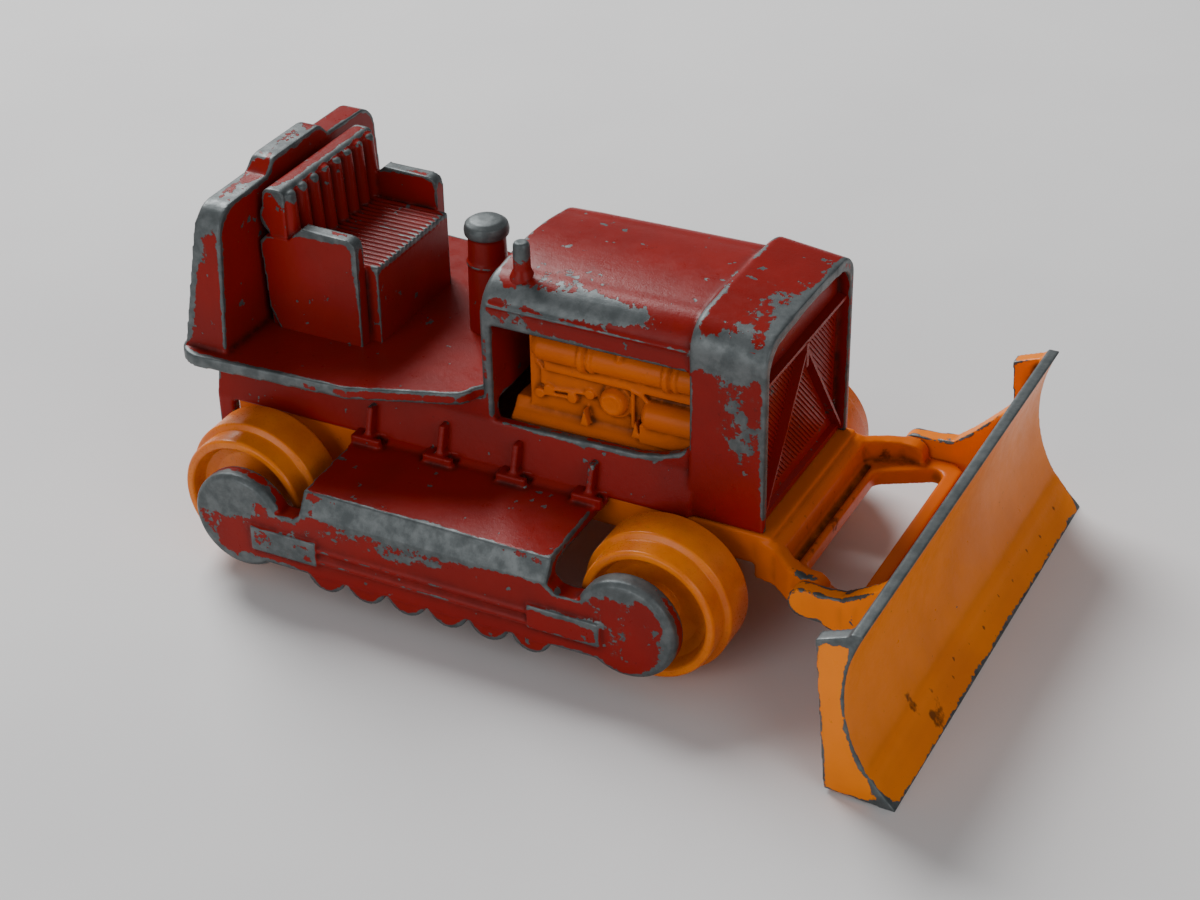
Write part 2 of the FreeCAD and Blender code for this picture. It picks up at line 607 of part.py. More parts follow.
def blade_casting():
    pieces = [mouldboard()]
    for side, sign in SIDES:
        pieces += [wing(side, sign), *blade_arm(side, sign)]
    return cut("blade_casting", join("blade_metal", *pieces),
               curve_rod("blade_face", "blade_curve", "blade_half + past"))


# ---- rollers, axles and rivets -----------------------------------------------------------------


def roller(end, way, side, sign):
    """A dished roller: tread outside, larger flange inside, and a long hub on the axle."""
    bore = "axle_radius + turn_gap"
    hub_in, hub_out = "base_half + side_gap", "frame_inner - side_gap"
    web_out = "flange_edge + web_set"
    web_in = f"{web_out} - web_thick"
    back = "flange_radius - flange_back"
    profile = [(bore, hub_in), ("hub_radius", hub_in), ("hub_radius", web_in),
               (f"{back} - dish_slope", web_in), (back, "roller_in"),
               ("flange_radius - flange_round / 2", "roller_in"),
               ("flange_radius", "roller_in + flange_round"), ("flange_radius", "flange_edge"),
               ("tread_radius", "flange_edge + web_set"), ("tread_radius", "roller_out"),
               ("dish_radius", "roller_out"), ("dish_radius - dish_slope", web_out),
               ("hub_radius", web_out), ("hub_radius", hub_out), (bore, hub_out)]
    points = [(r, toward(sign, y)) for r, y in profile]
    piece = turned(f"{end}_{side}_roller", points)
    return place(piece, f"wheel_middle {way} wheel_base / 2", "0", "flange_radius")


def axle(end, way):
    half = [("axle_radius", "axle_end - axle_round"), ("axle_radius - axle_round", "axle_end"),
            ("0", "axle_end")]
    points = half + [(r, f"-({y})") for r, y in reversed(half)]
    return place(turned(f"{end}_axle", points), f"wheel_middle {way} wheel_base / 2", "0", "flange_radius")


def rivet(end):
    """A round-headed rivet, driven up through the base into the body's post."""
    head = "skirt_bottom - base_thick"
    spot = f"rivet_{end}"
    shank = rod(f"{end}_shank", "z", "rivet_radius", head, "skirt_bottom + post_tall", spot, "0")
    cap = rod(f"{end}_head_disc", "z", "rivet_head", f"{head} - rivet_head_tall", head, spot, "0")
    cap = rounded(f"{end}_head", cap, "rivet_round",
                  lambda e: e.CenterOfMass.z < value(f"{head} - lap"))
    return join(f"{end}_rivet", shank, cap)


def main():
    nodes = [body_casting(), base_casting(), blade_casting()]
    for end, way in (("rear", "-"), ("front", "+")):
        nodes.append(axle(end, way))
        nodes += [roller(end, way, side, sign) for side, sign in SIDES]
        nodes.append(rivet(end))
    for node in nodes:
        node.Label = node.Name
    doc.recompute()
    for item in doc.Objects:
        if {"Invalid", "Error"} & set(item.State):
            raise SystemExit(f"{item.Name} failed: {item.State}")
    for node in nodes:
        shape = node.Shape
        if shape.isNull() or not shape.isValid() or shape.Volume <= 0:
            raise SystemExit(f"{node.Label} has no sound shape")
    for node in nodes:
        shape = node.Shape
        size = shape.BoundBox
        print(node.Label, len(shape.Solids), round(shape.Volume, 1),
              [round(v, 2) for v in (size.XMin, size.XMax, size.YMin, size.YMax, size.ZMin, size.ZMax)])
        shape.exportStep(f"parts/{node.Label}.step")


main()
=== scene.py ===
import json
import math

import bmesh
import bpy
import numpy as np
from mathutils import Matrix, Vector


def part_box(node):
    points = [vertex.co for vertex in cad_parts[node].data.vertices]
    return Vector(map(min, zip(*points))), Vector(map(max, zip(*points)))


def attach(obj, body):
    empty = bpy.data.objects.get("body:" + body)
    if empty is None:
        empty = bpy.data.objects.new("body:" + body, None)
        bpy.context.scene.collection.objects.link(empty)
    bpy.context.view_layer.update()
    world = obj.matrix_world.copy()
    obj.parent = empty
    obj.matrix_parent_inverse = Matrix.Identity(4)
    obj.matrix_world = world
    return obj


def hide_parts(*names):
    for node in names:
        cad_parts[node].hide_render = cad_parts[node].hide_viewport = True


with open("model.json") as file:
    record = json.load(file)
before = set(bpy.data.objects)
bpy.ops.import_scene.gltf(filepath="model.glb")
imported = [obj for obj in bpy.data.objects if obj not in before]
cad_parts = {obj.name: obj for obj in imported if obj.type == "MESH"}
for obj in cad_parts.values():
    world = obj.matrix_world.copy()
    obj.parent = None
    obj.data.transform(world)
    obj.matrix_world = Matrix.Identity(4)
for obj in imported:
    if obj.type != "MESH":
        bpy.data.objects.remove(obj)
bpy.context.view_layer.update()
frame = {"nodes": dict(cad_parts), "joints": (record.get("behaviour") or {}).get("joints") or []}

# A small die-cast crawler bulldozer. Shapes are drawn in millimetres in the frame's own axes and
# brought to metres when a piece is finished. +X points ahead to the blade, +Y to the left, +Z up.

MM = 0.001
RIGHT, LEFT = -1, 1
SIDES = (("right", RIGHT), ("left", LEFT))


# ---- sizes, read from the frame ----


def corners(*nodes):
    """Lowest and highest corners round some nodes, in millimetres."""
    boxes = [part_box(node) for node in nodes]
    low = Vector([min(b[0][i] for b in boxes) for i in range(3)])
    high = Vector([max(b[1][i] for b in boxes) for i in range(3)])
    return low / MM, high / MM


def joint_spot(name):
    spot = next(j for j in frame["joints"] if j["name"] == name)["pos_m"]
    return Vector(spot) / MM


BODY_LOW, BODY_HIGH = corners("body_casting")
BASE_LOW, BASE_HIGH = corners("base_casting")
_, BLADE_HIGH = corners("blade_casting")
PIVOT = joint_spot("blade_lift")
PIVOT_RADIUS = 1.2
REAR_WHEEL = joint_spot("rear_right_spin")
FRONT_WHEEL = joint_spot("front_right_spin")

TAIL = BODY_LOW.x
DECK_TOP = BODY_HIGH.z - 13.0
DECK_THICK = 1.0
SKIRT_LOW = DECK_TOP - 6.6
SKIRT_HALF = 8.8
HOOD_REAR = BODY_HIGH.x - 23.4
HOOD_HALF = 7.95
HOOD_TOP = DECK_TOP + 9.9
HOOD_WALL = 0.9
SHELL_REAR = BODY_HIGH.x - 6.0
SHELL_FRONT = BODY_HIGH.x
SHELL_HALF = 8.3
SHELL_TOP = DECK_TOP + 9.55
WINDOW_LOW = DECK_TOP - 2.8
WINDOW_HIGH = DECK_TOP + 5.4
WINDOW_REAR = HOOD_REAR + 0.8
FRAME_OUT = BODY_HIGH.y - 0.3
FRAME_IN = FRAME_OUT - 1.7
GUARD_REAR = TAIL + 13.8
GUARD_FRONT = TAIL + 35.15
GUARD_TOP = SKIRT_LOW - 0.2
CLEANER_SPOT = (TAIL + 20.8, 0.6)
STUB_SPOT = (TAIL + 27.3, -5.6)
AXLE_BORE = 0.85


# ---- shapes as point and face lists ----


def block(x, y, z):
    """A box between two places on each axis."""
    points = [(x[i], y[j], z[k]) for i in (0, 1) for j in (0, 1) for k in (0, 1)]
    faces = [(0, 1, 3, 2), (4, 6, 7, 5), (0, 4, 5, 1), (2, 3, 7, 6), (0, 2, 6, 4), (1, 5, 7, 3)]
    return points, faces


def loft(rings):
    """A closed solid through rings of equal length."""
    size = len(rings[0])
    points = [p for ring in rings for p in ring]
    faces = [tuple(range(size)), tuple(range(len(points) - size, len(points)))]
    for level in range(len(rings) - 1):
        for here in range(size):
            there = (here + 1) % size
            start = level * size
            faces.append((start + here, start + there, start + size + there, start + size + here))
    return points, faces


def spread(axis, flat, depth):
    """A flat point with its depth along an axis, as a point in space."""
    u, v = flat
    return {"x": (depth, u, v), "y": (u, depth, v), "z": (u, v, depth)}[axis]


def prism(axis, outline, low, high):
    """An outline in the two other axes, in rising order, drawn out along one axis."""
    return loft([[spread(axis, p, depth) for p in outline] for depth in (low, high)])


def circle(steps):
    """The cosine and sine of each step of a full turn."""
    turns = [2 * math.pi * step / steps for step in range(steps)]
    return [(math.cos(turn), math.sin(turn)) for turn in turns]


def drum(axis, centre, profile, steps=28):
    """A turned solid: profile holds pairs of radius and place along the axis, end to end."""
    return loft([[spread(axis, (centre[0] + radius * c, centre[1] + radius * s), depth)
                  for c, s in circle(steps)] for radius, depth in profile])


def rod(axis, centre, radius, low, high, steps=28):
    return drum(axis, centre, [(radius, low), (radius, high)], steps)


def ball(centre, radii, steps=20):
    """An egg with its own radius on each axis."""
    rings = []
    for level in range(1, steps // 2):
        lift = math.pi * level / (steps // 2)
        wide, tall = math.sin(lift), math.cos(lift)
        rings.append([(centre[0] + radii[0] * wide * c, centre[1] + radii[1] * wide * s,
                       centre[2] + radii[2] * tall) for c, s in circle(steps)])
    return loft(rings)


def bar(start, end, radius, steps=10):
    """A round bar between two points."""
    start, end = Vector(start), Vector(end)
    turn = (end - start).to_track_quat("Z", "Y")
    return loft([[tuple(spot + turn @ Vector((radius * c, radius * s, 0))) for c, s in circle(steps)]
                 for spot in (start, end)])


def arc(centre, radius, start, end, steps=8):
    """Points on an arc between two angles in degrees."""
    turns = [math.radians(start + (end - start) * i / steps) for i in range(steps + 1)]
    return [(centre[0] + radius * math.cos(t), centre[1] + radius * math.sin(t)) for t in turns]


def both(outline):
    """An outline even about its first axis: the points given, then their mirror images."""
    return list(outline) + [(-u, v) for u, v in reversed(outline)]


def mirrored(outline):
    """The same for an outline that is even about its second axis."""
    return outline + [(u, -v) for u, v in reversed(outline)]


def flipped(shape):
    points, faces = shape
    return [(x, -y, z) for x, y, z in points], faces


def on_side(sign, shapes):
    """Shapes drawn for the left, kept there or mirrored to the right."""
    return list(shapes) if sign == LEFT else [flipped(shape) for shape in shapes]


def on_both(shapes):
    return list(shapes) + [flipped(shape) for shape in shapes]


# ---- from shapes to pieces ----


def placed(name, data):
    """A new object in the scene."""
    thing = bpy.data.objects.new(name, data)
    bpy.context.scene.collection.objects.link(thing)
    return thing


def raw(name, shapes):
    """An object that holds every shape, each with its faces turned outwards."""
    mesh = bmesh.new()
    for points, faces in shapes:
        part = bmesh.new()
        made = [part.verts.new(p) for p in points]
        for face in faces:
            part.faces.new([made[i] for i in face])
        bmesh.ops.recalc_face_normals(part, faces=part.faces)
        bmesh.ops.triangulate(part, faces=[f for f in part.faces if len(f.verts) > 4])
        held = bpy.data.meshes.new("held")
        part.to_mesh(held)
        part.free()
        mesh.from_mesh(held)
        bpy.data.meshes.remove(held)
    data = bpy.data.meshes.new(name)
    mesh.to_mesh(data)
    mesh.free()
    return placed(name, data)


def settle(thing):
    """Works the modifiers into the mesh."""
    bpy.context.view_layer.update()
    seen = thing.evaluated_get(bpy.context.evaluated_depsgraph_get())
    mesh = bpy.data.meshes.new_from_object(seen)
    old = thing.data
    thing.modifiers.clear()
    thing.data = mesh
    mesh.name = thing.name
    bpy.data.meshes.remove(old)


def cast(name, shapes, cuts=(), cell=0.15, ease=2):
    """One casting from many shapes: cut, run together on a fine grid, and eased on every edge."""
    thing = raw(name, shapes)
    if cuts:
        tool = raw(name + "_tool", cuts)
        carve = thing.modifiers.new("carve", "BOOLEAN")
        carve.operation = "DIFFERENCE"
        carve.solver = "EXACT"
        carve.use_self = True
        carve.object = tool
        settle(thing)
        bpy.data.objects.remove(tool)
    grid = thing.modifiers.new("grid", "REMESH")
    grid.mode = "VOXEL"
    grid.voxel_size = cell
    smooth = thing.modifiers.new("ease", "SMOOTH")
    smooth.factor = 0.5
    smooth.iterations = ease
    settle(thing)
    return thing


def read(items, prop, width):
    values = np.empty(len(items) * width, np.float32)
    items.foreach_get(prop, values)
    return values.reshape(-1, width)


def relief(mesh, passes):
    """How far each point stands proud of the eased surface round it: positive on edges."""
    points = read(mesh.vertices, "co", 3).astype(float)
    normals = read(mesh.vertex_normals, "vector", 3)
    ends = np.empty(len(mesh.edges) * 2, np.int32)
    mesh.edges.foreach_get("vertices", ends)
    one, two = ends.reshape(-1, 2).T
    count = len(points)
    degree = np.maximum(np.bincount(ends, minlength=count), 1)
    eased = points.copy()
    for _ in range(passes):
        for axis in range(3):
            column = eased[:, axis]
            total = np.bincount(one, column[two], count) + np.bincount(two, column[one], count)
            eased[:, axis] = total / degree
    return ((points - eased) * normals).sum(axis=1)


def note(mesh, name, values):
    attribute = mesh.attributes.new(name, "FLOAT", "POINT")
    attribute.data.foreach_set("value", np.asarray(values, np.float32))


def spots_of(points, rubs):
    """The sum of soft spots, each with a middle, a size on each axis and a strength."""
    total = np.zeros(len(points))
    for centre, size, strength in rubs:
        away = (points - np.array(centre)) / np.array(size)
        total += strength * np.exp(-(away ** 2).sum(axis=1))
    return total


def mark_wear(thing, cell, rubs=(), keen=1.0, soils=()):
    """Stores where edges stand proud, and where hands have rubbed, for the paint to read."""
    mesh = thing.data
    reach = 0.55
    passes = int((reach / cell) ** 2)
    stand = np.clip(relief(mesh, passes) / (0.22 * reach), -1, 1)
    # Negative values mark hollows, which the paint darkens as painted shade.
    note(mesh, "edge", np.where(stand > 0, stand * keen, stand))
    points = read(mesh.vertices, "co", 3)
    note(mesh, "rub", spots_of(points, rubs))
    note(mesh, "soil", spots_of(points, soils))


def finish(thing, material, body, node):
    """Brings a piece to metres, paints it, hangs it on its body and puts it in a node's place."""
    thing.data.transform(Matrix.Scale(MM, 4))
    thing.data.materials.clear()
    thing.data.materials.append(material)
    thing.data.shade_smooth()
    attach(thing, body)
    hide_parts(node)


# ---- shader helpers ----


def feed(tree, node, inputs):
    """Gives a node its inputs; each is a value or another node's socket."""
    for key, value in inputs.items():
        if isinstance(value, bpy.types.NodeSocket):
            tree.links.new(value, node.inputs[key])
        else:
            node.inputs[key].default_value = value
    return node


def put(tree, kind, inputs=None, **settings):
    """A new node with its settings and inputs."""
    node = tree.nodes.new(kind)
    for key, value in settings.items():
        setattr(node, key, value)
    return feed(tree, node, inputs or {})


def calc(tree, operation, *values):
    return put(tree, "ShaderNodeMath", dict(enumerate(values)), operation=operation).outputs[0]


def ramp(tree, value, low, high, to_low=0.0, to_high=1.0):
    """Eases a value from one range to another."""
    inputs = {"Value": value, "From Min": low, "From Max": high, "To Min": to_low, "To Max": to_high}
    return put(tree, "ShaderNodeMapRange", inputs, interpolation_type="SMOOTHSTEP").outputs[0]


def blended(tree, share, one, two):
    return put(tree, "ShaderNodeMix", {0: share, 6: one, 7: two}, data_type="RGBA").outputs[2]


def new_group(name, inputs, outputs):
    tree = bpy.data.node_groups.new(name, "ShaderNodeTree")
    for direction, sockets in (("INPUT", inputs), ("OUTPUT", outputs)):
        for label, kind in sockets:
            tree.interface.new_socket(label, in_out=direction, socket_type="NodeSocket" + kind)
    return tree, tree.nodes.new("NodeGroupInput"), tree.nodes.new("NodeGroupOutput")


def use_group(tree, group, **inputs):
    """The outputs of a shared group."""
    named = {key.replace("_", " "): value for key, value in inputs.items()}
    return put(tree, "ShaderNodeGroup", named, node_tree=group).outputs


def millimetres(tree):
    """The piece's own coordinates, in millimetres."""
    place = put(tree, "ShaderNodeTexCoord").outputs["Object"]
    return put(tree, "ShaderNodeVectorMath", {0: place, "Scale": 1 / MM}, operation="SCALE").outputs[0]


def noise(tree, place, scale, detail=2.0, rough=0.5, seed=0.0):
    inputs = {"Vector": place, "W": seed, "Scale": scale, "Detail": detail, "Roughness": rough}
    return put(tree, "ShaderNodeTexNoise", inputs, noise_dimensions="4D").outputs[0]


def stored(tree, name):
    return put(tree, "ShaderNodeAttribute", attribute_name=name).outputs["Fac"]


# ---- effects that several materials share ----


def chipped_paint():
    """Where the paint has come off: worn edges, rubbed places and loose flecks."""
    tree, given, out = new_group(
        "chipped_paint",
        [("Edge Wear", "Float"), ("Rub Wear", "Float"), ("Flecks", "Float")],
        [("Bare", "Float"), ("Rim", "Float")])
    place = millimetres(tree)
    proud = calc(tree, "MAXIMUM", stored(tree, "edge"), 0.0)
    edge = calc(tree, "MULTIPLY", proud, given.outputs["Edge Wear"])
    value = calc(tree, "MULTIPLY_ADD", stored(tree, "rub"), given.outputs["Rub Wear"], edge)
    for scale, strength, seed in ((0.16, 1.3, 1.0), (0.8, 1.9, 2.0), (3.2, 1.0, 3.0)):
        rough = calc(tree, "SUBTRACT", noise(tree, place, scale, 2.0, 0.6, seed), 0.5)
        value = calc(tree, "MULTIPLY_ADD", rough, strength, value)
    value = calc(tree, "SUBTRACT", value, 1.0)
    worn = ramp(tree, value, -0.015, 0.015)
    patch = ramp(tree, noise(tree, place, 0.22, 1.0, 0.5, 4.0), 0.42, 0.62)
    fleck = calc(tree, "MULTIPLY_ADD", patch, 0.07, noise(tree, place, 1.15, 2.5, 0.55, 5.0))
    fleck = calc(tree, "MULTIPLY_ADD", given.outputs["Flecks"], 0.1, fleck)
    bare = calc(tree, "MAXIMUM", worn, ramp(tree, fleck, 0.745, 0.755))
    rim = calc(tree, "SUBTRACT", ramp(tree, value, -0.16, -0.02), worn)
    feed(tree, out, {"Bare": bare, "Rim": rim})
    return tree


def cast_zinc():
    """Dull die-cast zinc: blotched blue grey with a fine grain."""
    tree, _, out = new_group(
        "cast_zinc", [], [("Colour", "Color"), ("Roughness", "Float"), ("Grain", "Float")])
    place = millimetres(tree)
    blotch = noise(tree, place, 0.9, 4.0, 0.65, 11.0)
    shade = ramp(tree, blotch, 0.3, 0.72)
    feed(tree, out, {
        "Colour": blended(tree, shade, (0.075, 0.085, 0.087, 1), (0.135, 0.147, 0.149, 1)),
        "Roughness": ramp(tree, blotch, 0.35, 0.7, 0.52, 0.42),
        "Grain": noise(tree, place, 9.0, 3.0, 0.6, 12.0)})
    return tree


def paint_tone():
    """Paint that has faded and stained unevenly, with painted shade darkening its hollows and corners.
    """
    tree, given, out = new_group(
        "paint_tone", [("Fresh", "Color"), ("Faded", "Color"), ("Dirt", "Color")],
        [("Colour", "Color"), ("Roughness", "Float"), ("Peel", "Float")])
    place = millimetres(tree)
    drift = ramp(tree, noise(tree, place, 0.12, 3.0, 0.6, 21.0), 0.32, 0.68)
    tone = blended(tree, drift, given.outputs["Fresh"], given.outputs["Faded"])
    # Painted shade: hollows and inner corners, where the stored relief is negative, are darkened,
    # mottled by noise.
    hollow = calc(tree, "MAXIMUM", calc(tree, "MULTIPLY", stored(tree, "edge"), -1.0), 0.0)
    smear = noise(tree, place, 0.8, 4.0, 0.7, 22.0)
    darkening = calc(tree, "MULTIPLY", hollow, ramp(tree, smear, 0.3, 0.6, 0.35, 1.0))
    # Small dark grime specks and soil stains are added on top of the painted shade.
    spots = ramp(tree, noise(tree, place, 2.2, 3.0, 0.6, 23.0), 0.66, 0.74)
    darkening = calc(tree, "MAXIMUM", darkening, calc(tree, "MULTIPLY", spots, 0.35))
    blot = noise(tree, place, 0.9, 3.0, 0.6, 25.0)
    soil = calc(tree, "MULTIPLY_ADD", stored(tree, "soil"), 0.5, blot)
    darkening = calc(tree, "MAXIMUM", darkening, ramp(tree, soil, 0.72, 0.9, 0.0, 0.9))
    # This mask holds both the painted shade in the hollows and the grime specks and soil stains; it
    # darkens the colour and dulls the gloss.
    dull = calc(tree, "MULTIPLY_ADD", darkening, 0.25, ramp(tree, smear, 0.3, 0.7, 0.27, 0.38))
    feed(tree, out, {"Colour": blended(tree, darkening, tone, given.outputs["Dirt"]), "Roughness": dull,
                     "Peel": noise(tree, place, 2.4, 2.0, 0.5, 24.0)})
    return tree


CHIPS = chipped_paint()
ZINC = cast_zinc()
TONE = paint_tone()


# ---- materials ----


def blank(name):
    material = bpy.data.materials.new(name)
    material.use_nodes = True
    tree = material.node_tree
    return material, tree, tree.nodes["Principled BSDF"]


def bump(tree, height, depth, strength=1.0):
    inputs = {"Height": height, "Distance": depth * MM, "Strength": strength}
    return put(tree, "ShaderNodeBump", inputs).outputs["Normal"]


def enamel(name, fresh, faded, darkening, rim, edge_wear, rub_wear, flecks):
    """Enamel on cast zinc, chipped to bare metal where it stands proud."""
    material, tree, shader = blank(name)
    chips = use_group(tree, CHIPS, Edge_Wear=edge_wear, Rub_Wear=rub_wear, Flecks=flecks)
    metal = use_group(tree, ZINC)
    # The tone group darkens hollows as painted shade, and grime spots, toward the given dark colour.
    paint = use_group(tree, TONE, Fresh=fresh, Faded=faded, Dirt=darkening)
    bare = chips["Bare"]
    edged = blended(tree, calc(tree, "MULTIPLY", chips["Rim"], 0.55), paint["Colour"], rim)
    rough = put(tree, "ShaderNodeMix", {0: bare, 2: paint["Roughness"], 3: metal["Roughness"]},
                data_type="FLOAT").outputs[0]
    film = calc(tree, "MULTIPLY", bare, -1.0)
    film = calc(tree, "MULTIPLY_ADD", paint["Peel"], 0.25, film)
    film = calc(tree, "MULTIPLY_ADD", metal["Grain"], 0.22, film)
    feed(tree, shader, {
        "Base Color": blended(tree, bare, edged, metal["Colour"]),
        "Metallic": calc(tree, "MULTIPLY", bare, 0.6),
        "Specular IOR Level": 0.13,
        "Roughness": rough,
        "Normal": bump(tree, film, 0.06, 0.8)})
    return material


def moulded_plastic():
    """Glossy moulded plastic, a little uneven in tone and scuffed."""
    material, tree, shader = blank("orange_moulded_plastic")
    place = millimetres(tree)
    drift = ramp(tree, noise(tree, place, 0.35, 3.0, 0.6, 31.0), 0.3, 0.7)
    clean = blended(tree, drift, (0.58, 0.125, 0.002, 1), (0.72, 0.185, 0.003, 1))
    darkening = ramp(tree, noise(tree, place, 1.7, 5.0, 0.7, 32.0), 0.58, 0.8, 0.0, 0.5)
    scuff = noise(tree, place, 5.0, 4.0, 0.65, 33.0)
    feed(tree, shader, {
        "Base Color": blended(tree, darkening, clean, (0.25, 0.07, 0.01, 1)),
        "Roughness": ramp(tree, scuff, 0.35, 0.75, 0.26, 0.44),
        "Normal": bump(tree, scuff, 0.012),
        "Specular IOR Level": 0.35,
        "Subsurface Weight": 0.15,
        "Subsurface Scale": 0.6 * MM})
    return material


def drawn_steel():
    """Plain drawn steel with fine scratches and some tarnish."""
    material, tree, shader = blank("drawn_steel")
    place = millimetres(tree)
    tarnish = noise(tree, place, 1.1, 4.0, 0.65, 41.0)
    share = ramp(tree, tarnish, 0.35, 0.7)
    feed(tree, shader, {
        "Base Color": blended(tree, share, (0.46, 0.46, 0.47, 1), (0.20, 0.17, 0.14, 1)),
        "Roughness": ramp(tree, tarnish, 0.3, 0.7, 0.28, 0.55),
        "Normal": bump(tree, noise(tree, place, 12.0, 2.0, 0.6, 42.0), 0.01),
        "Metallic": 1.0})
    return material


# Each enamel's darkening colour is used for grime specks and soil stains, and for the painted shade in
# its hollows.
RED = enamel(
    "red_enamel", fresh=(0.236, 0.0080, 0.0050, 1), faded=(0.185, 0.0080, 0.0060, 1),
    darkening=(0.035, 0.003, 0.002, 1), rim=(0.15, 0.03, 0.025, 1), edge_wear=1.5, rub_wear=1.6, flecks=0.35)
# The base's enamel is the blade's enamel painted darker and redder: painted shade, with painted red
# light bounced off the red body.
SHADED_BASE_ENAMEL = enamel(
    "orange_enamel", fresh=(0.60, 0.118, 0.001, 1), faded=(0.50, 0.092, 0.001, 1),
    darkening=(0.09, 0.020, 0.002, 1), rim=(0.26, 0.09, 0.015, 1), edge_wear=1.1, rub_wear=1.6, flecks=-0.35)
YELLOWED = enamel(
    "yellowed_enamel", fresh=(0.84, 0.205, 0.003, 1), faded=(0.72, 0.168, 0.003, 1),
    darkening=(0.12, 0.035, 0.004, 1), rim=(0.28, 0.11, 0.02, 1), edge_wear=1.25, rub_wear=1.6, flecks=-0.2)
PLASTIC = moulded_plastic()
STEEL = drawn_steel()


# ---- red casting: deck, tail plate, seat, stacks ----


def deck():
    """The flat deck, widest at its rounded rear corners and drawn in to the hood."""
    half, corner = 13.4, 2.4
    edge = arc((TAIL + corner, half - corner), corner, 180, 90) + [(TAIL + 15.5, 12.6)]
    edge += arc((HOOD_REAR - 2.3, 8.2), 1.9, 60, 10, 6) + [(HOOD_REAR + 0.3, 7.6)]
    return prism("z", mirrored(edge), DECK_TOP - DECK_THICK, DECK_TOP)


def tail_plate():
    """The upright plate behind the seat, thicker at its foot, with a raised middle."""
    foot, top = DECK_TOP - 0.2, BODY_HIGH.z - 1.2
    half, corner = 12.2, 2.2
    narrow = 0.9
    front, rear = TAIL + 4.3, TAIL + 0.5
    lean = 1.8 / (BODY_HIGH.z - DECK_TOP)
    outline = [(half, foot)] + arc((half - narrow - corner, top - corner), corner, 4, 80, 6)
    outline += [(4.4, top + 0.1), (3.4, BODY_HIGH.z - 0.1), (2.9, BODY_HIGH.z)]
    outline = both(outline)
    near = [(front, y, z) for y, z in outline]
    far = [(rear + lean * (z - foot), y, z) for y, z in outline]
    return loft([far, near])


def seat_back():
    """The padded back: a thick roll behind, with upright flutes in front."""
    front, rear, top = TAIL + 7.1, TAIL + 4.7, DECK_TOP + 12.0
    half = 6.55
    side = [(front, DECK_TOP - 0.2), (front, top - 0.6)]
    side += arc((front - 0.5, top - 0.5), 0.5, 0, 90, 4)
    side += arc((rear + 1.15, top - 0.75), 0.75, 90, 165, 5)
    side += arc((rear + 1.35, top - 2.5), 1.35, 140, 240, 7)
    side += [(rear + 1.0, top - 4.2), (rear + 1.0, DECK_TOP - 0.2)]
    shapes = [prism("y", side, -half, half)]
    flutes, radius = 8, 0.6
    pitch = 2 * (half - 0.85) / (flutes - 1)
    for index in range(flutes):
        across = (index - (flutes - 1) / 2) * pitch
        shapes.append(bar((front + 0.3, across, DECK_TOP + 5.6), (front - 0.1, across, top - 0.5),
                          radius, 16))
        shapes.append(ball((front - 0.1, across, top - 0.5), (radius, radius, 0.3), 12))
    return shapes


def seat():
    """The seat: a bench with two arms and a ribbed cushion that stands ahead of them."""
    front, half, arm = TAIL + 13.4, 6.7, 1.15
    rear = TAIL + 4.5
    cushion_front = front + 1.0
    cushion_top = DECK_TOP + 6.25
    low = DECK_TOP - 0.2
    shapes = seat_back() + [
        block((rear + 0.4, front - 0.2), (-half + 0.4, half - 0.4), (low, DECK_TOP + 5.8)),
        block((TAIL + 7.0, cushion_front), (-half + arm + 0.15, half - arm - 0.15), (low, cushion_top))]
    ribs, radius = 18, 0.27
    pitch = 2 * (half - arm - 0.45) / (ribs - 1)
    for index in range(ribs):
        across = (index - (ribs - 1) / 2) * pitch
        shapes.append(rod("x", (across, cushion_top), radius, TAIL + 7.0, cushion_front + 0.05, 12))
    arm_top, corner = DECK_TOP + 9.1, 0.8
    view = [(front, low)] + arc((front - corner, arm_top - corner), corner, 0, 90, 5)
    view += [(TAIL + 8.6, arm_top + 0.1), (TAIL + 7.9, arm_top - 0.5)]
    view += [(TAIL + 7.3, arm_top - 1.1), (rear + 0.6, arm_top - 1.2), (rear + 0.1, arm_top - 1.7)]
    view += [(rear + 0.5, DECK_TOP + 1.6), (rear + 1.4, low)]
    return shapes + on_both([prism("y", view, half - arm, half)])


def stacks():
    """The air cleaner with its mushroom cap, and the exhaust stub on the hood."""
    cap = DECK_TOP + 9.5
    cleaner = [(1.68, DECK_TOP - 0.3), (1.6, DECK_TOP + 5.6), (1.7, DECK_TOP + 5.7),
               (1.7, DECK_TOP + 5.9), (1.56, DECK_TOP + 6.0), (1.5, cap - 1.45), (1.76, cap - 1.3),
               (1.8, cap - 0.85), (1.68, cap - 0.4), (1.25, cap - 0.1), (0.6, cap)]
    stub = [(1.25, HOOD_TOP - 2.3), (0.95, HOOD_TOP - 0.9), (0.68, HOOD_TOP - 0.35),
            (0.64, HOOD_TOP + 1.6), (0.5, HOOD_TOP + 1.85)]
    return [drum("z", CLEANER_SPOT, cleaner, 40), drum("z", STUB_SPOT, stub, 24)]


# ---- red casting: hood, radiator shell, skirts and grille ----


def arched(half, top, shoulder, low, crown=0.25):
    """A hood section: upright sides, round shoulders and a slightly crowned top."""
    flat = half - shoulder
    side = [(half, low)] + arc((flat, top - crown - shoulder), shoulder, 0, 82, 9)
    shares = (0.95, 0.8, 0.65, 0.5, 0.35, 0.2, 0.02)
    return both(side + [(flat * share, top - crown * share ** 2) for share in shares])


def stood(along, outline):
    """An outline across the hood, stood at a place along it."""
    return [(along, y, z) for y, z in outline]


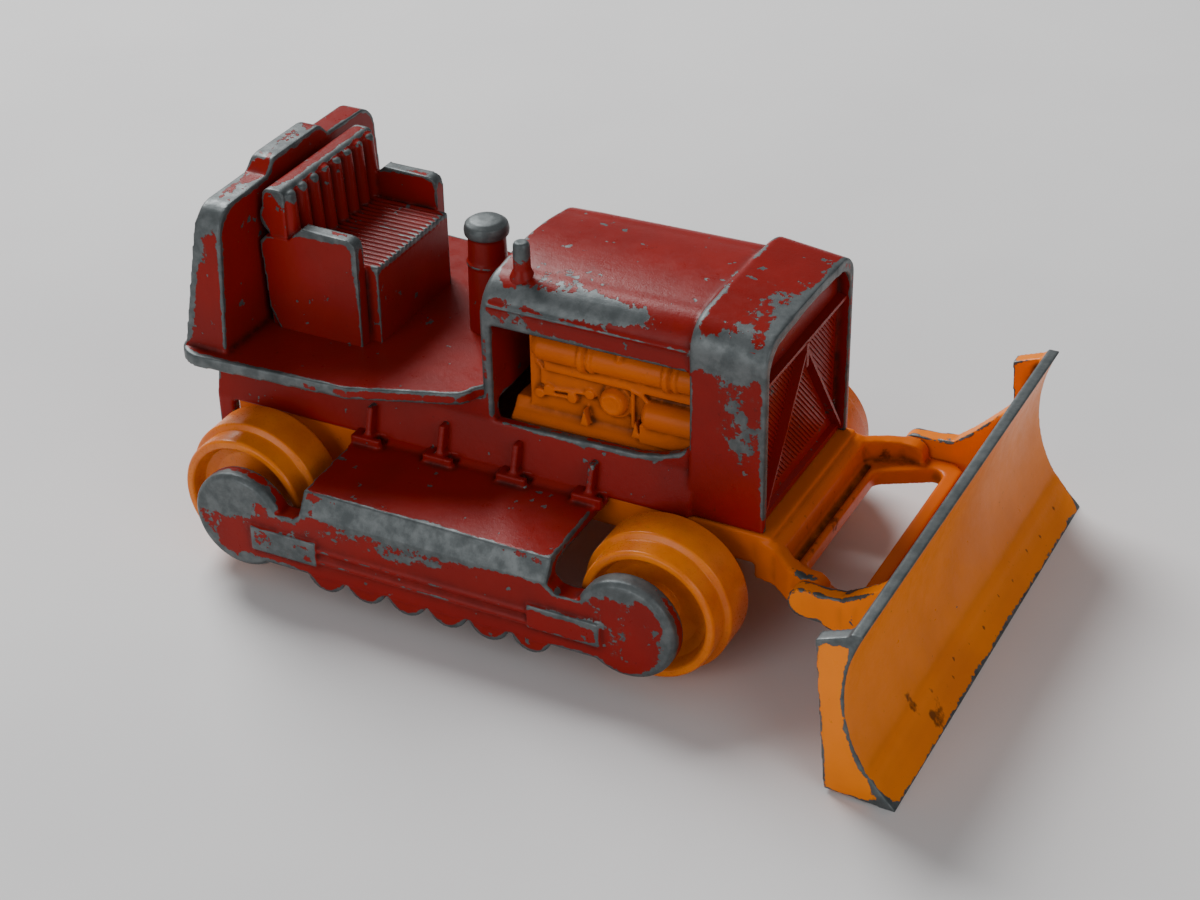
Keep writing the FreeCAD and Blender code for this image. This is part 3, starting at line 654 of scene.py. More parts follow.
def hood():
    """Hood, radiator shell and skirts in one."""
    low, belly, rear = SKIRT_LOW, DECK_TOP - DECK_THICK + 0.1, TAIL + 0.4
    bonnet = ((HOOD_REAR, 0.75), (HOOD_REAR + 0.4, 0.35), (HOOD_REAR + 3.0, 0.25),
              (SHELL_REAR + 0.4, 0.05))
    shell = ((SHELL_REAR, -0.3, 2.4), (SHELL_REAR + 0.4, -0.5, 2.2), (SHELL_FRONT, 0.15, 2.2))
    shapes = [loft([stood(x, arched(HOOD_HALF, HOOD_TOP - fall, 2.9, WINDOW_LOW - 0.6, 0.5))
                    for x, fall in bonnet]),
              loft([stood(x, arched(SHELL_HALF, SHELL_TOP - fall, shoulder, low, 0.2))
                    for x, fall, shoulder in shell])]
    lean = [(SKIRT_HALF, low), (HOOD_HALF, WINDOW_LOW), (HOOD_HALF, belly), (0.0, belly), (0.0, low)]
    lower = [(SKIRT_HALF, low), (HOOD_HALF, WINDOW_LOW), (0.0, WINDOW_LOW), (0.0, low)]
    shapes += on_both([prism("x", lean, rear, HOOD_REAR + 0.2),
                       prism("x", lower, HOOD_REAR, SHELL_REAR + 0.2),
                       block((rear, rear + 1.5), (SKIRT_HALF - 1.0, SKIRT_HALF - 0.05),
                             (low - 2.7, low + 0.3))])
    bead = [(along, HOOD_HALF - 0.03, HOOD_TOP - 2.75) for along in (HOOD_REAR + 0.5, SHELL_REAR)]
    return shapes + on_both([bar(*bead, 0.12)])


def hood_cuts():
    """What is taken out: the hollow underneath, the grille's recess and the engine windows."""
    low, wall, end = SKIRT_LOW - 1, HOOD_WALL, SHELL_REAR - 0.1
    window = [(WINDOW_REAR, WINDOW_LOW), (WINDOW_REAR, WINDOW_HIGH), (end, WINDOW_HIGH),
              (end, WINDOW_LOW + 1.9), (end - 0.9, WINDOW_LOW + 1.2), (end - 2.3, WINDOW_LOW + 0.65),
              (end - 4.3, WINDOW_LOW + 0.25)]
    return [block((TAIL + 1.5, HOOD_REAR + 0.9), (-HOOD_HALF + 1.1, HOOD_HALF - 1.1),
                  (low, DECK_TOP - DECK_THICK - 0.4)),
            prism("x", arched(HOOD_HALF - wall, HOOD_TOP - wall - 0.4, 2.0, low), HOOD_REAR + wall,
                  SHELL_REAR + 0.3),
            prism("x", arched(SHELL_HALF - wall, SHELL_TOP - wall, 1.7, low), SHELL_REAR,
                  SHELL_FRONT - 2.4),
            prism("x", arched(SHELL_HALF - 0.65, SHELL_TOP - 0.95, 2.2, low), SHELL_FRONT - 1.0,
                  SHELL_FRONT + 1),
            prism("y", window, -HOOD_HALF - 1, HOOD_HALF + 1)]


GRILLE_BACK = SHELL_FRONT - 1.05
GRILLE_HALF = SHELL_HALF - 0.75
GRILLE_LOW = SKIRT_LOW + 0.7
BAR_UP = DECK_TOP + 5.4


def ridge(one, two, width, stand):
    """A rib on the grille's back between two points, with a narrow crest."""
    along = Vector((0, two[0] - one[0], two[1] - one[1])).normalized()
    across = along.cross(Vector((1, 0, 0))) * width / 2
    rings = []
    for y, z in (one, two):
        root = Vector((GRILLE_BACK - 0.05, y, z))
        crest = root + Vector((stand + 0.05, 0, 0))
        rings.append([tuple(root + across), tuple(crest + across * 0.55),
                      tuple(crest - across * 0.55), tuple(root - across)])
    return loft(rings)


def clipped(start, way, fields):
    """The stretch of a slanted line that lies inside a field of half planes."""
    low, high = -40.0, 40.0
    for (y, z), (ny, nz) in fields:
        speed = way[0] * ny + way[1] * nz
        gap = (y - start[0]) * ny + (z - start[1]) * nz
        if abs(speed) < 1e-9:
            continue
        if speed > 0:
            low = max(low, gap / speed)
        else:
            high = min(high, gap / speed)
    return low, high


def hatch(fields, stand):
    """Fine slanted ribs that fill a field of half planes."""
    pitch, way = 0.47, (math.sqrt(0.5), -math.sqrt(0.5))
    shapes = []
    for index in range(-60, 100):
        start = (0.0, GRILLE_LOW + index * pitch)
        low, high = clipped(start, way, fields)
        if high - low < 0.5:
            continue
        ends = [(start[0] + way[0] * t, start[1] + way[1] * t) for t in (low, high)]
        shapes.append(ridge(*ends, 0.2, stand))
    return shapes


def grille():
    """The radiator's face: a cross bar, two long slanted ribs and fields of fine ribs."""
    apex = BAR_UP - 0.1
    foot = (GRILLE_HALF - 0.1, GRILLE_LOW)
    fall = (foot[1] - apex) / foot[0]
    slope, level = fall / math.hypot(1, fall), 1 / math.hypot(1, fall)
    inside = [((0, apex - 1.3), (slope, -level)), ((0, apex - 1.3), (-slope, -level)),
              ((0, GRILLE_LOW + 1.2), (0, 1))]
    shapes = [block((GRILLE_BACK - 0.6, GRILLE_BACK), (-GRILLE_HALF - 0.4, GRILLE_HALF + 0.4),
                    (SKIRT_LOW + 0.1, SHELL_TOP - 1.2))]
    shapes += hatch(inside, 0.18)
    for sign in (RIGHT, LEFT):
        outside = [((0, apex - 0.4), (-sign * slope, level)), ((0, BAR_UP - 0.7), (0, -1)),
                   ((sign * (GRILLE_HALF - 0.6), 0), (-sign, 0))]
        shapes += hatch(outside, 0.15)
        shapes.append(ridge((0, apex - 0.5), (sign * foot[0], foot[1]), 0.42, 0.8))
        shapes.append(ridge((0, BAR_UP), (sign * GRILLE_HALF, BAR_UP), 0.5, 0.78))
    shapes.append(ridge((0, apex), (0, apex - 2.0), 0.75, 0.82))
    shapes.append(ridge((-GRILLE_HALF, GRILLE_LOW - 0.3), (GRILLE_HALF, GRILLE_LOW - 0.3), 0.9, 0.5))
    return shapes


# ---- red casting: guards, track frames and brackets ----


BOSS_RADIUS = 4.13
REAR_BOSS = TAIL + 8.0
FRONT_BOSS = REAR_BOSS + 33.4
SHOULDER = GUARD_TOP - 2.65
FRAME_LOW = 2.9
LOBE_SPOTS = [TAIL + 15.72 + 3.58 * index for index in range(6)]
BRACKET_SPOTS = [TAIL + 15.1 + 6.45 * index for index in range(4)]


def guard():
    """The guard over the track, with its leaning outer band."""
    section = [(SKIRT_HALF - 0.3, GUARD_TOP + 0.6), (SKIRT_HALF - 0.05, GUARD_TOP + 0.45),
               (SKIRT_HALF + 0.5, GUARD_TOP + 0.02),
               (FRAME_OUT - 0.95, GUARD_TOP - 0.4), (FRAME_OUT - 0.1, GUARD_TOP - 1.85),
               (FRAME_OUT, GUARD_TOP - 2.0), (FRAME_OUT, SHOULDER - 0.2), (FRAME_IN, SHOULDER - 0.2),
               (FRAME_IN, GUARD_TOP - 1.5), (FRAME_OUT - 2.6, GUARD_TOP - 1.1),
               (SKIRT_HALF - 0.1, GUARD_TOP - 1.0)]
    return prism("x", section, GUARD_REAR, GUARD_FRONT)


def outer_frame():
    """The track frame's plate with its bosses, lobes, raised bars and thin lines."""
    wall = (FRAME_IN, FRAME_OUT)
    shapes = [block((REAR_BOSS, FRONT_BOSS), wall, (FRAME_LOW, SHOULDER - 0.15))]
    domed = [(BOSS_RADIUS - 0.1, FRAME_IN), (BOSS_RADIUS, FRAME_IN + 0.2),
             (BOSS_RADIUS, FRAME_OUT - 0.35), (BOSS_RADIUS - 0.35, FRAME_OUT)]
    for spot in (REAR_BOSS, FRONT_BOSS):
        shapes.append(drum("y", (spot, REAR_WHEEL.z), domed, 56))
    for spot in LOBE_SPOTS:
        shapes.append(rod("y", (spot, FRAME_LOW + 0.45), 1.75, FRAME_IN, FRAME_OUT - 0.05, 32))
    proud = (FRAME_OUT - 0.3, FRAME_OUT + 0.28)
    shapes += [block((REAR_BOSS + 1.2, GUARD_REAR + 1.3), proud, (3.95, 6.1)),
               block((GUARD_FRONT - 1.6, FRONT_BOSS - 1.9), proud, (4.1, 6.15))]
    for level in (4.4, 5.4):
        ends = [(along, FRAME_OUT, level) for along in (GUARD_REAR + 1.2, GUARD_FRONT - 1.5)]
        shapes.append(bar(*ends, 0.17))
    for end, ahead in ((GUARD_FRONT, 1), (GUARD_REAR, -1)):
        fillet = [(end - 0.2 * ahead, SHOULDER + 0.6), (end + 0.9 * ahead, SHOULDER - 0.3),
                  (end - 0.2 * ahead, SHOULDER - 0.6)]
        shapes.append(prism("y", fillet, *wall))
    return shapes


def brackets():
    """Upright webs with feet, between the guard and the skirt."""
    web = [(SKIRT_HALF - 0.4, GUARD_TOP - 0.2), (SKIRT_HALF + 1.0, GUARD_TOP - 0.2),
           (SKIRT_HALF + 0.85, GUARD_TOP + 0.7), (SKIRT_HALF + 0.15, GUARD_TOP + 3.0),
           (HOOD_HALF - 0.1, GUARD_TOP + 3.0)]
    shapes = []
    for spot in BRACKET_SPOTS:
        shapes.append(prism("x", web, spot - 0.26, spot + 0.26))
        shapes.append(block((spot - 1.3, spot + 1.25), (SKIRT_HALF - 0.3, SKIRT_HALF + 1.2),
                            (GUARD_TOP - 0.3, GUARD_TOP + 0.72)))
    return shapes


def notches():
    """Small gaps in the guard beside each bracket."""
    shapes = []
    for spot in BRACKET_SPOTS:
        shapes.append(block((spot + 0.5, spot + 1.5), (SKIRT_HALF - 0.05, SKIRT_HALF + 0.7),
                            (GUARD_TOP + 0.1, GUARD_TOP + 1.1)))
    return shapes


def axle_slots():
    """Slots in the frame's inner face for the axle ends."""
    wall = (FRAME_IN - 0.5, FRAME_IN + 0.95)
    shapes = []
    for wheel in (REAR_WHEEL, FRONT_WHEEL):
        shapes.append(rod("y", (wheel.x, wheel.z), AXLE_BORE, *wall))
        shapes.append(block((wheel.x - AXLE_BORE, wheel.x + AXLE_BORE), wall, (0.0, wheel.z)))
    return shapes


# ---- base casting, its enamel darkened and reddened as painted shade: plate, push frame and engine ----


PLATE_HALF = 8.45
PLATE_LOW = SKIRT_LOW - 2.6
PLATE_TOP = SKIRT_LOW
PLATE_FRONT = SHELL_FRONT + 0.6
RING_LOW = PIVOT.z - 1.65
RING_TOP = PIVOT.z - 0.35


def base_plate():
    """The plate with its axle lugs and side strips, and the sill ahead of the grille."""
    half, top, front, root = PLATE_HALF, PLATE_TOP, PLATE_FRONT, PLATE_LOW + 0.2
    shapes = [block((BASE_LOW.x, front), (-half, half), (PLATE_LOW, top))]
    for wheel in (REAR_WHEEL, FRONT_WHEEL):
        lug = [(wheel.x - 2.2, root), (wheel.x - 1.6, BASE_LOW.z), (wheel.x + 1.6, BASE_LOW.z),
               (wheel.x + 2.2, root)]
        shapes += on_both([prism("y", lug, half - 2.0, half)])
    strip = block((BASE_LOW.x, GUARD_REAR + 0.6), (half - 1.0, half), (REAR_WHEEL.z + 0.2, root))
    sill = [(front - 0.3, RING_LOW), (front + 1.1, RING_LOW), (front + 1.0, top - 0.6),
            (front + 0.5, top - 0.3), (front - 0.3, top - 0.25)]
    return shapes + on_both([strip]) + [prism("y", sill, -half, half)]


def push_frame():
    """The ring ahead of the sill, with a flare and a rounded arm end on each side."""
    front, side, eye = BASE_HIGH.x, BASE_HIGH.y, PIVOT_RADIUS
    flare = [(PLATE_FRONT - 1.2, PLATE_HALF), (PLATE_FRONT + 0.6, PLATE_HALF + 0.4),
             (PIVOT.x - 2.0, side - 0.6), (PIVOT.x - 0.6, side)]
    ring = mirrored(flare + [(front - 0.9, side), (front, side - 0.9)])
    tops = (PLATE_TOP - 0.2, PLATE_TOP - 0.5, PIVOT.z + eye + 0.1, PIVOT.z + eye)
    sections = [[(x, y - 1.4, RING_LOW), (x, y, RING_LOW), (x, y, top - 0.2), (x, y - 0.3, top),
                 (x, y - 1.4, top)] for (x, y), top in zip(flare, tops)]
    nose = rod("y", (PIVOT.x, PIVOT.z), eye, side - 1.4, side - 0.02, 36)
    neck = block((PIVOT.x - 0.7, PIVOT.x), (side - 1.4, side - 0.02), (RING_LOW, PIVOT.z + eye))
    corner = [(0.9, RING_LOW), (0.9, PLATE_TOP - 1.0), (0.7, PLATE_TOP - 0.7), (0.3, PLATE_TOP - 0.6)]
    boss = drum("z", (PLATE_FRONT - 0.2, PLATE_HALF - 0.7), corner, 32)
    return [prism("z", ring, RING_LOW, RING_TOP), *on_both([loft(sections), nose, neck, boss])]


def base_cuts():
    """The push frame's window, the groove ahead of the sill and the axle bores."""
    window = arc((PLATE_FRONT + 3.2, PLATE_HALF - 2.05), 0.9, 180, 115, 4)
    window += arc((BASE_HIGH.x - 2.1, BASE_HIGH.y - 2.45), 0.9, 88, 0, 5)
    cuts = [prism("z", mirrored(window), RING_LOW - 1, RING_TOP + 1),
            block((PLATE_FRONT + 1.15, PLATE_FRONT + 1.75), (-PLATE_HALF + 0.6, PLATE_HALF - 0.6),
                  (RING_TOP - 0.5, RING_TOP + 1))]
    for wheel in (REAR_WHEEL, FRONT_WHEEL):
        cuts.append(rod("y", (wheel.x, wheel.z), AXLE_BORE, -PLATE_HALF - 1, PLATE_HALF + 1))
    return cuts


ENGINE_HALF = 5.6
ENGINE_REAR = TAIL + 27.7
ENGINE_FRONT = SHELL_REAR - 0.4
LEDGE = DECK_TOP - 2.2


def engine_side():
    """What shows of the engine through a window, drawn on the left."""
    rear, front, face, up = ENGINE_REAR, ENGINE_FRONT, ENGINE_HALF, DECK_TOP + 3.45
    root = face - 0.5
    pipe = [(0.3, rear + 0.35), (0.85, rear + 0.55), (1.15, rear + 1.1), (1.15, front)]
    shapes = [drum("x", (face, up), pipe, 28)]
    for start in (rear + 4.6, rear + 11.6):
        shapes += [rod("x", (face, up), 1.38, start, start + 0.45),
                   rod("x", (face, up), 1.28, start + 0.8, start + 1.1)]
    pump = (rear + 7.25, up - 3.3)
    dome = [(1.12, root), (1.12, face + 0.45), (0.98, face + 0.8), (0.75, face + 0.98),
            (0.5, face + 0.9)]
    can = [(0.85, rear + 9.75), (1.2, rear + 10.1), (1.2, front)]
    shapes += [bar((rear + 8.0, face + 1.0, up + 0.6), (rear + 8.0, face, up + 2.2), 0.24),
               block((rear + 1.4, front), (root, face + 0.45), (up - 1.95, up - 1.1)),
               block((rear + 1.0, rear + 7.6), (root, face + 0.22), (up - 3.3, up - 1.9)),
               drum("y", pump, dome, 30),
               rod("y", pump, 1.42, root, face + 0.2, 30),
               drum("x", (face + 0.1, up - 3.7), can, 28),
               block((rear + 9.6, front), (root, face + 0.9), (up - 6.0, up - 4.4))]
    hose = [(8.7, -1.9), (9.5, -2.1), (10.4, -2.9), (10.9, -3.3)]
    for one, two in zip(hose, hose[1:]):
        shapes.append(bar(*((rear + x, face + 0.35, up + z) for x, z in (one, two)), 0.19))
    for step in range(3):
        spot, drop = rear + 0.55 + 0.34 * step, 0.4 * step
        ends = [(spot + x, face + 0.05, up - z - drop) for x, z in ((0, 1.5), (0.75, 2.1))]
        shapes.append(bar(*ends, 0.13))
    for spot, lift in ((0.9, -4.1), (1.7, -3.6), (3.7, -3.9), (5.2, -3.2)):
        shapes.append(rod("y", (rear + spot, up + lift), 0.42, face - 0.4, face + 0.42, 14))
    for one, two, out, radius in (((8.75, -1.9), (8.75, -5.2), 0.2, 0.16),
                                  ((0.9, -4.1), (3.7, -3.9), 0.25, 0.16),
                                  ((1.7, -3.6), (5.2, -3.2), 0.25, 0.14)):
        shapes.append(bar(*((rear + x, face + out, up + z) for x, z in (one, two)), radius))
    for spot in (rear + 4.9, rear + 9.2):
        fin = [(spot - 0.35, LEDGE - 0.1), (spot, LEDGE + 1.35), (spot + 0.35, LEDGE - 0.1)]
        shapes.append(prism("y", fin, face - 0.2, face + 0.85))
    return shapes


def engine():
    """The engine block on its sloping ledge."""
    low, half = SKIRT_LOW - 0.2, ENGINE_HALF
    slope = [(half - 0.3, LEDGE + 0.5), (half + 0.25, LEDGE - 0.3), (half + 0.9, LEDGE - 0.9),
             (half + 0.9, low), (0.0, low), (0.0, LEDGE + 0.5)]
    return [block((ENGINE_REAR, ENGINE_FRONT), (-half, half), (low, BASE_HIGH.z - 0.05)),
            *on_both([prism("x", slope, ENGINE_REAR - 1.4, ENGINE_FRONT)]), *on_both(engine_side())]


# ---- blade ----


BLADE_CURVE = 11.4
BLADE_THICK = 0.85
TOP_ALONG = BLADE_HIGH.x - 2.95


def curve_centre():
    """The axis that the blade's face curves round, from its top edge, foot and radius."""
    run, rise = BLADE_HIGH.x - TOP_ALONG, BLADE_HIGH.z
    chord = math.hypot(run, rise)
    out = math.sqrt(BLADE_CURVE ** 2 - chord ** 2 / 4)
    return (TOP_ALONG + BLADE_HIGH.x) / 2 + out * rise / chord, rise / 2 + out * run / chord


CURVE_X, CURVE_Z = curve_centre()


def on_curve(radius, height):
    """The place along X of the curve of some radius at a height."""
    return CURVE_X - math.sqrt(radius ** 2 - (height - CURVE_Z) ** 2)


def rising(low, high, steps):
    """Heights in even steps."""
    return [low + (high - low) * step / steps for step in range(steps + 1)]


def mouldboard():
    """The curved sheet, with a cutting edge that stands a little proud along its foot."""
    edge_top, stand = 2.3, 0.13
    face = []
    for height in rising(0, BLADE_HIGH.z, 26):
        proud = stand if height < edge_top else 0.0
        face.append((min(on_curve(BLADE_CURVE, height) + proud, BLADE_HIGH.x), height))
    back = [(on_curve(BLADE_CURVE + BLADE_THICK, z), z) for _, z in reversed(face)]
    return prism("y", face + back, -BLADE_HIGH.y, BLADE_HIGH.y)


def wing():
    """The end plate behind the blade, following the face's curve in front."""
    rear = TOP_ALONG - 3.45
    front = [(on_curve(BLADE_CURVE + 0.3, z), z) for z in rising(0, BLADE_HIGH.z, 12)]
    view = [(rear + 1.0, 0.3)] + front + [(rear, BLADE_HIGH.z - 1.2)]
    return prism("y", view, BLADE_HIGH.y - 1.25, BLADE_HIGH.y)


def upright(places, near, far):
    """A ring up one face of an upright plate and down the other, from places along and up."""
    return [(x, near, z) for x, z in places] + [(x, far, z) for x, z in reversed(places)]


def arm():
    """An arm: a round eye at the pivot that widens and bends out to a gusset behind the blade."""
    inner, eye, steps = BASE_HIGH.y + 0.15, PIVOT_RADIUS, 8
    stations = [(0.0, -eye, eye, 0.0, 1.3), (1.6, -eye - 0.1, eye, 0.0, 1.35),
                (3.0, -1.9, eye + 0.15, 0.05, 1.4), (4.3, -3.0, eye + 1.1, 0.45, 1.4),
                (5.6, -4.2, eye + 2.2, 1.1, 1.4)]
    rings = []
    for along, low, high, out, wide in stations:
        places = [(PIVOT.x + along, z) for z in rising(PIVOT.z + low, PIVOT.z + high, steps)]
        rings.append(upright(places, inner + out, inner + out + wide))
    places = [(on_curve(BLADE_CURVE + 0.35, z), z) for z in rising(2.6, BLADE_HIGH.z - 0.35, steps)]
    rings.append(upright(places, inner + 1.9, inner + 3.3))
    head = rod("y", (PIVOT.x, PIVOT.z), eye, inner, inner + 1.3, 36)
    pip = rod("y", (PIVOT.x, PIVOT.z), 0.6, BASE_HIGH.y - 0.8, inner + 0.3)
    return [loft(rings), head, pip]


def blade():
    return [mouldboard()] + on_both([wing(), *arm()])


# ---- rollers ----


def roller(node):
    """A dished roller turned on its axle's line: tread, flange, web and long hub."""
    low, high = corners(node)
    side = LEFT if low.y > 0 else RIGHT
    inner, outer = (low.y, high.y) if side == LEFT else (-high.y, -low.y)
    centre = ((low.x + high.x) / 2, (low.z + high.z) / 2)
    big = (high.x - low.x) / 2
    tread, lip, step = big - 0.55, outer - 0.65, inner + 4.75
    profile = [(AXLE_BORE, inner), (1.8, inner), (1.9, inner + 0.1), (1.9, step - 0.9),
               (big - 0.95, step - 0.9), (big - 0.7, inner + 1.5), (big - 0.2, inner + 1.5),
               (big, inner + 1.75), (big, step - 0.12), (big - 0.12, step), (tread + 0.04, step + 0.14),
               (tread, step + 0.3), (tread, lip - 0.2), (tread - 0.16, lip), (tread - 0.6, lip),
               (tread - 0.76, lip - 0.16), (tread - 1.1, step + 0.75), (tread - 1.9, step + 0.3),
               (1.95, step + 0.2), (1.9, step + 0.35), (1.9, outer - 0.15), (1.75, outer),
               (AXLE_BORE, outer)]
    steps, size = 160, len(profile)
    points = [(centre[0] + radius * c, side * depth, centre[1] + radius * s)
              for c, s in circle(steps) for radius, depth in profile]
    faces = []
    for here in range(steps):
        there = (here + 1) % steps
        for level in range(size):
            after = (level + 1) % size
            faces.append((here * size + level, here * size + after, there * size + after,
                          there * size + level))
    thing = raw(node.replace("roller", "roller_moulding"), [(points, faces)])
    soften = thing.modifiers.new("soften", "BEVEL")
    soften.width = 0.07
    soften.segments = 3
    soften.limit_method = "ANGLE"
    soften.angle_limit = math.radians(25)
    settle(thing)
    return thing


# ---- wear: where hands, floors and other toys have rubbed each casting ----


SHOULDER_UP = HOOD_TOP - 1.6
BODY_RUBS = [
    ((HOOD_REAR + 3.5, -HOOD_HALF + 0.4, SHOULDER_UP), (5.2, 1.0, 0.8), 1.1),
    ((HOOD_REAR + 10.5, -HOOD_HALF + 0.5, SHOULDER_UP + 0.3), (4.0, 1.3, 1.0), 1.15),
    ((HOOD_REAR + 6.0, -HOOD_HALF + 3.2, HOOD_TOP), (4.0, 2.4, 1.5), 0.72),
    ((HOOD_REAR + 3.5, -HOOD_HALF, WINDOW_HIGH + 1.0), (4.0, 0.8, 1.4), 0.66),
    ((SHELL_REAR + 4.0, -SHELL_HALF + 4.5, SHELL_TOP), (2.2, 5.5, 1.5), 0.68),
    ((SHELL_REAR + 3.8, -SHELL_HALF, DECK_TOP + 2.0), (2.4, 0.8, 5.5), 0.58),
    ((SHELL_REAR, -2.0, SHELL_TOP + 0.3), (0.4, 7.0, 0.6), 0.6),
    *(((TAIL + 24.0, out, SKIRT_LOW), (30.0, 0.8, 1.2), -2.0) for out in (-SKIRT_HALF, SKIRT_HALF)),
    ((HOOD_REAR, -HOOD_HALF + 1.4, SHOULDER_UP + 0.2), (0.9, 1.5, 1.4), 0.9),
    ((SHELL_REAR + 2.6, -SHELL_HALF + 0.3, SHELL_TOP - 2.2), (3.2, 1.0, 1.3), 1.35),
    ((SHELL_FRONT, -4.0, SHELL_TOP - 0.2), (0.8, 4.5, 0.9), 0.8),
    ((SHELL_FRONT, 5.5, SHELL_TOP - 0.6), (0.8, 3.5, 1.2), 0.6),
    ((SHELL_REAR + 2.6, SHELL_HALF - 0.3, SHELL_TOP - 2.2), (3.2, 1.0, 1.3), 0.8),
    ((HOOD_REAR + 8.0, HOOD_HALF - 0.6, SHOULDER_UP + 0.8), (7.5, 0.8, 0.7), 0.55),
    ((WINDOW_REAR, -HOOD_HALF, WINDOW_HIGH - 0.3), (0.5, 0.6, 1.4), 0.45),
    ((SHELL_REAR - 6.0, -HOOD_HALF, WINDOW_LOW), (6.5, 0.4, 0.5), 0.55),
]
DECK_RUBS = [
    ((TAIL + 1.6, -11.8, DECK_TOP + 9.8), (1.7, 1.3, 3.4), 1.3),
    ((TAIL + 1.0, -12.0, DECK_TOP + 5.0), (0.9, 0.8, 6.0), 0.9),
    ((TAIL + 2.2, -11.0, BODY_HIGH.z - 1.4), (2.4, 2.4, 1.2), 1.2),
    ((TAIL + 3.4, -7.0, BODY_HIGH.z - 1.0), (1.4, 3.0, 0.6), 0.6),
    ((TAIL + 3.4, 0.0, BODY_HIGH.z), (1.4, 4.0, 0.6), 0.7),
    ((TAIL + 3.0, 11.4, BODY_HIGH.z - 1.4), (1.6, 1.2, 1.6), 0.9),
    ((TAIL + 9.0, -13.1, DECK_TOP - 0.4), (14.0, 0.5, 0.5), 0.75),
    ((TAIL + 9.0, 13.1, DECK_TOP - 0.4), (14.0, 0.5, 0.5), 0.6),
    ((TAIL + 0.1, 0.0, DECK_TOP - 0.4), (0.5, 12.0, 0.5), 0.5),
]
SEAT_RUBS = [
    ((TAIL + 10.5, -6.6, DECK_TOP + 9.0), (3.2, 0.8, 0.7), 1.0),
    ((TAIL + 13.2, -6.6, DECK_TOP + 7.0), (0.5, 0.5, 2.4), 0.6),
    ((TAIL + 6.9, -5.8, DECK_TOP + 11.5), (0.9, 1.4, 0.9), 1.0),
    ((TAIL + 6.9, 1.0, DECK_TOP + 12.0), (0.5, 6.0, 0.45), 0.7),
    ((TAIL + 7.5, 0.0, DECK_TOP + 9.0), (0.8, 6.5, 1.9), -1.4),
    ((TAIL + 10.5, 6.4, DECK_TOP + 9.1), (3.4, 0.6, 0.5), 0.7),
    ((TAIL + 14.4, 0.0, DECK_TOP + 6.4), (0.3, 6.0, 0.35), 0.45),
]
STACK_RUBS = [
    ((*CLEANER_SPOT, DECK_TOP + 9.5), (2.8, 2.8, 0.9), 2.6),
    ((*STUB_SPOT, HOOD_TOP + 1.8), (1.2, 1.2, 1.0), 1.6),
]
TRACK_RUBS = [
    ((GUARD_REAR + 5.0, FRAME_OUT - 0.4, GUARD_TOP - 1.25), (9.0, 0.8, 0.85), 1.25),
    ((GUARD_FRONT - 5.0, FRAME_OUT - 0.4, GUARD_TOP - 1.35), (8.0, 0.8, 0.85), 1.15),
    ((GUARD_REAR + 7.0, FRAME_OUT, GUARD_TOP - 3.2), (10.0, 0.8, 1.4), 0.6),
    ((GUARD_REAR + 10.0, SKIRT_HALF + 0.6, GUARD_TOP + 1.0), (14.0, 1.6, 2.6), -1.2),
    ((REAR_BOSS - 1.0, FRAME_OUT, REAR_WHEEL.z + 2.4), (3.2, 0.9, 2.1), 1.2),
    ((REAR_BOSS + 0.6, FRAME_OUT, REAR_WHEEL.z - 3.4), (3.4, 0.8, 0.9), 0.7),
    ((FRONT_BOSS, FRAME_OUT, REAR_WHEEL.z), (4.5, 0.8, 4.5), 0.45),
    ((REAR_BOSS - 2.6, FRAME_OUT, REAR_WHEEL.z - 1.6), (1.3, 0.8, 2.2), 0.7),
    ((REAR_BOSS + 4.0, FRAME_OUT + 0.2, 5.0), (3.4, 0.6, 1.3), 0.75),
    ((FRONT_BOSS - 0.5, FRAME_OUT - 0.6, REAR_WHEEL.z + 3.7), (3.0, 0.9, 0.8), 1.1),
    ((FRONT_BOSS + 3.4, FRAME_OUT - 0.3, REAR_WHEEL.z - 0.6), (0.8, 0.6, 3.0), 0.7),
    ((FRONT_BOSS - 4.6, FRAME_OUT + 0.2, 6.0), (3.4, 0.5, 0.35), 0.8),
]
BLADE_RUBS = [
    ((TOP_ALONG - 0.3, 0.0, BLADE_HIGH.z), (0.9, 24.0, 0.55), 1.5),
    ((BLADE_HIGH.x - 4.3, -BLADE_HIGH.y + 0.5, BLADE_HIGH.z - 0.6), (2.2, 1.1, 0.7), 1.0),
    ((TOP_ALONG, -BLADE_HIGH.y, BLADE_HIGH.z - 1.6), (0.7, 0.8, 2.2), 0.9),
    ((BLADE_HIGH.x, 0.0, 0.0), (0.9, 24.0, 0.6), 0.6),
    ((BLADE_HIGH.x, -BLADE_HIGH.y, 0.3), (2.4, 0.8, 1.2), 0.8),
    ((BLADE_HIGH.x, BLADE_HIGH.y, 0.3), (2.4, 0.8, 1.2), 0.6),
    ((PIVOT.x + 3.0, -BASE_HIGH.y - 0.6, PIVOT.z + 1.6), (3.0, 0.7, 0.5), 0.6),
]
BLADE_SOILS = [
    ((BLADE_HIGH.x - 2.3, -12.2, 2.5), (1.1, 1.0, 1.0), 0.95),
    ((BLADE_HIGH.x - 1.0, -11.0, 0.9), (1.1, 1.1, 0.9), 0.95),
    ((BLADE_HIGH.x - 1.6, -9.4, 1.6), (0.7, 0.7, 0.6), 0.55),
    *(((BLADE_HIGH.x - 1.3, -6.5 + 1.35 * step, 1.2 + 0.3 * (step * 2 % 5)), (0.7, 0.2, 0.2), 0.9)
      for step in range(20)),
]
BASE_SOILS = [
    ((PIVOT.x - 2.4, 0.0, PIVOT.z), (1.0, 9.0, 1.2), 0.55),
    *(((PIVOT.x - 1.0, out, PIVOT.z), (2.4, 0.5, 0.8), 0.5) for out in (8.8, -8.8)),
]
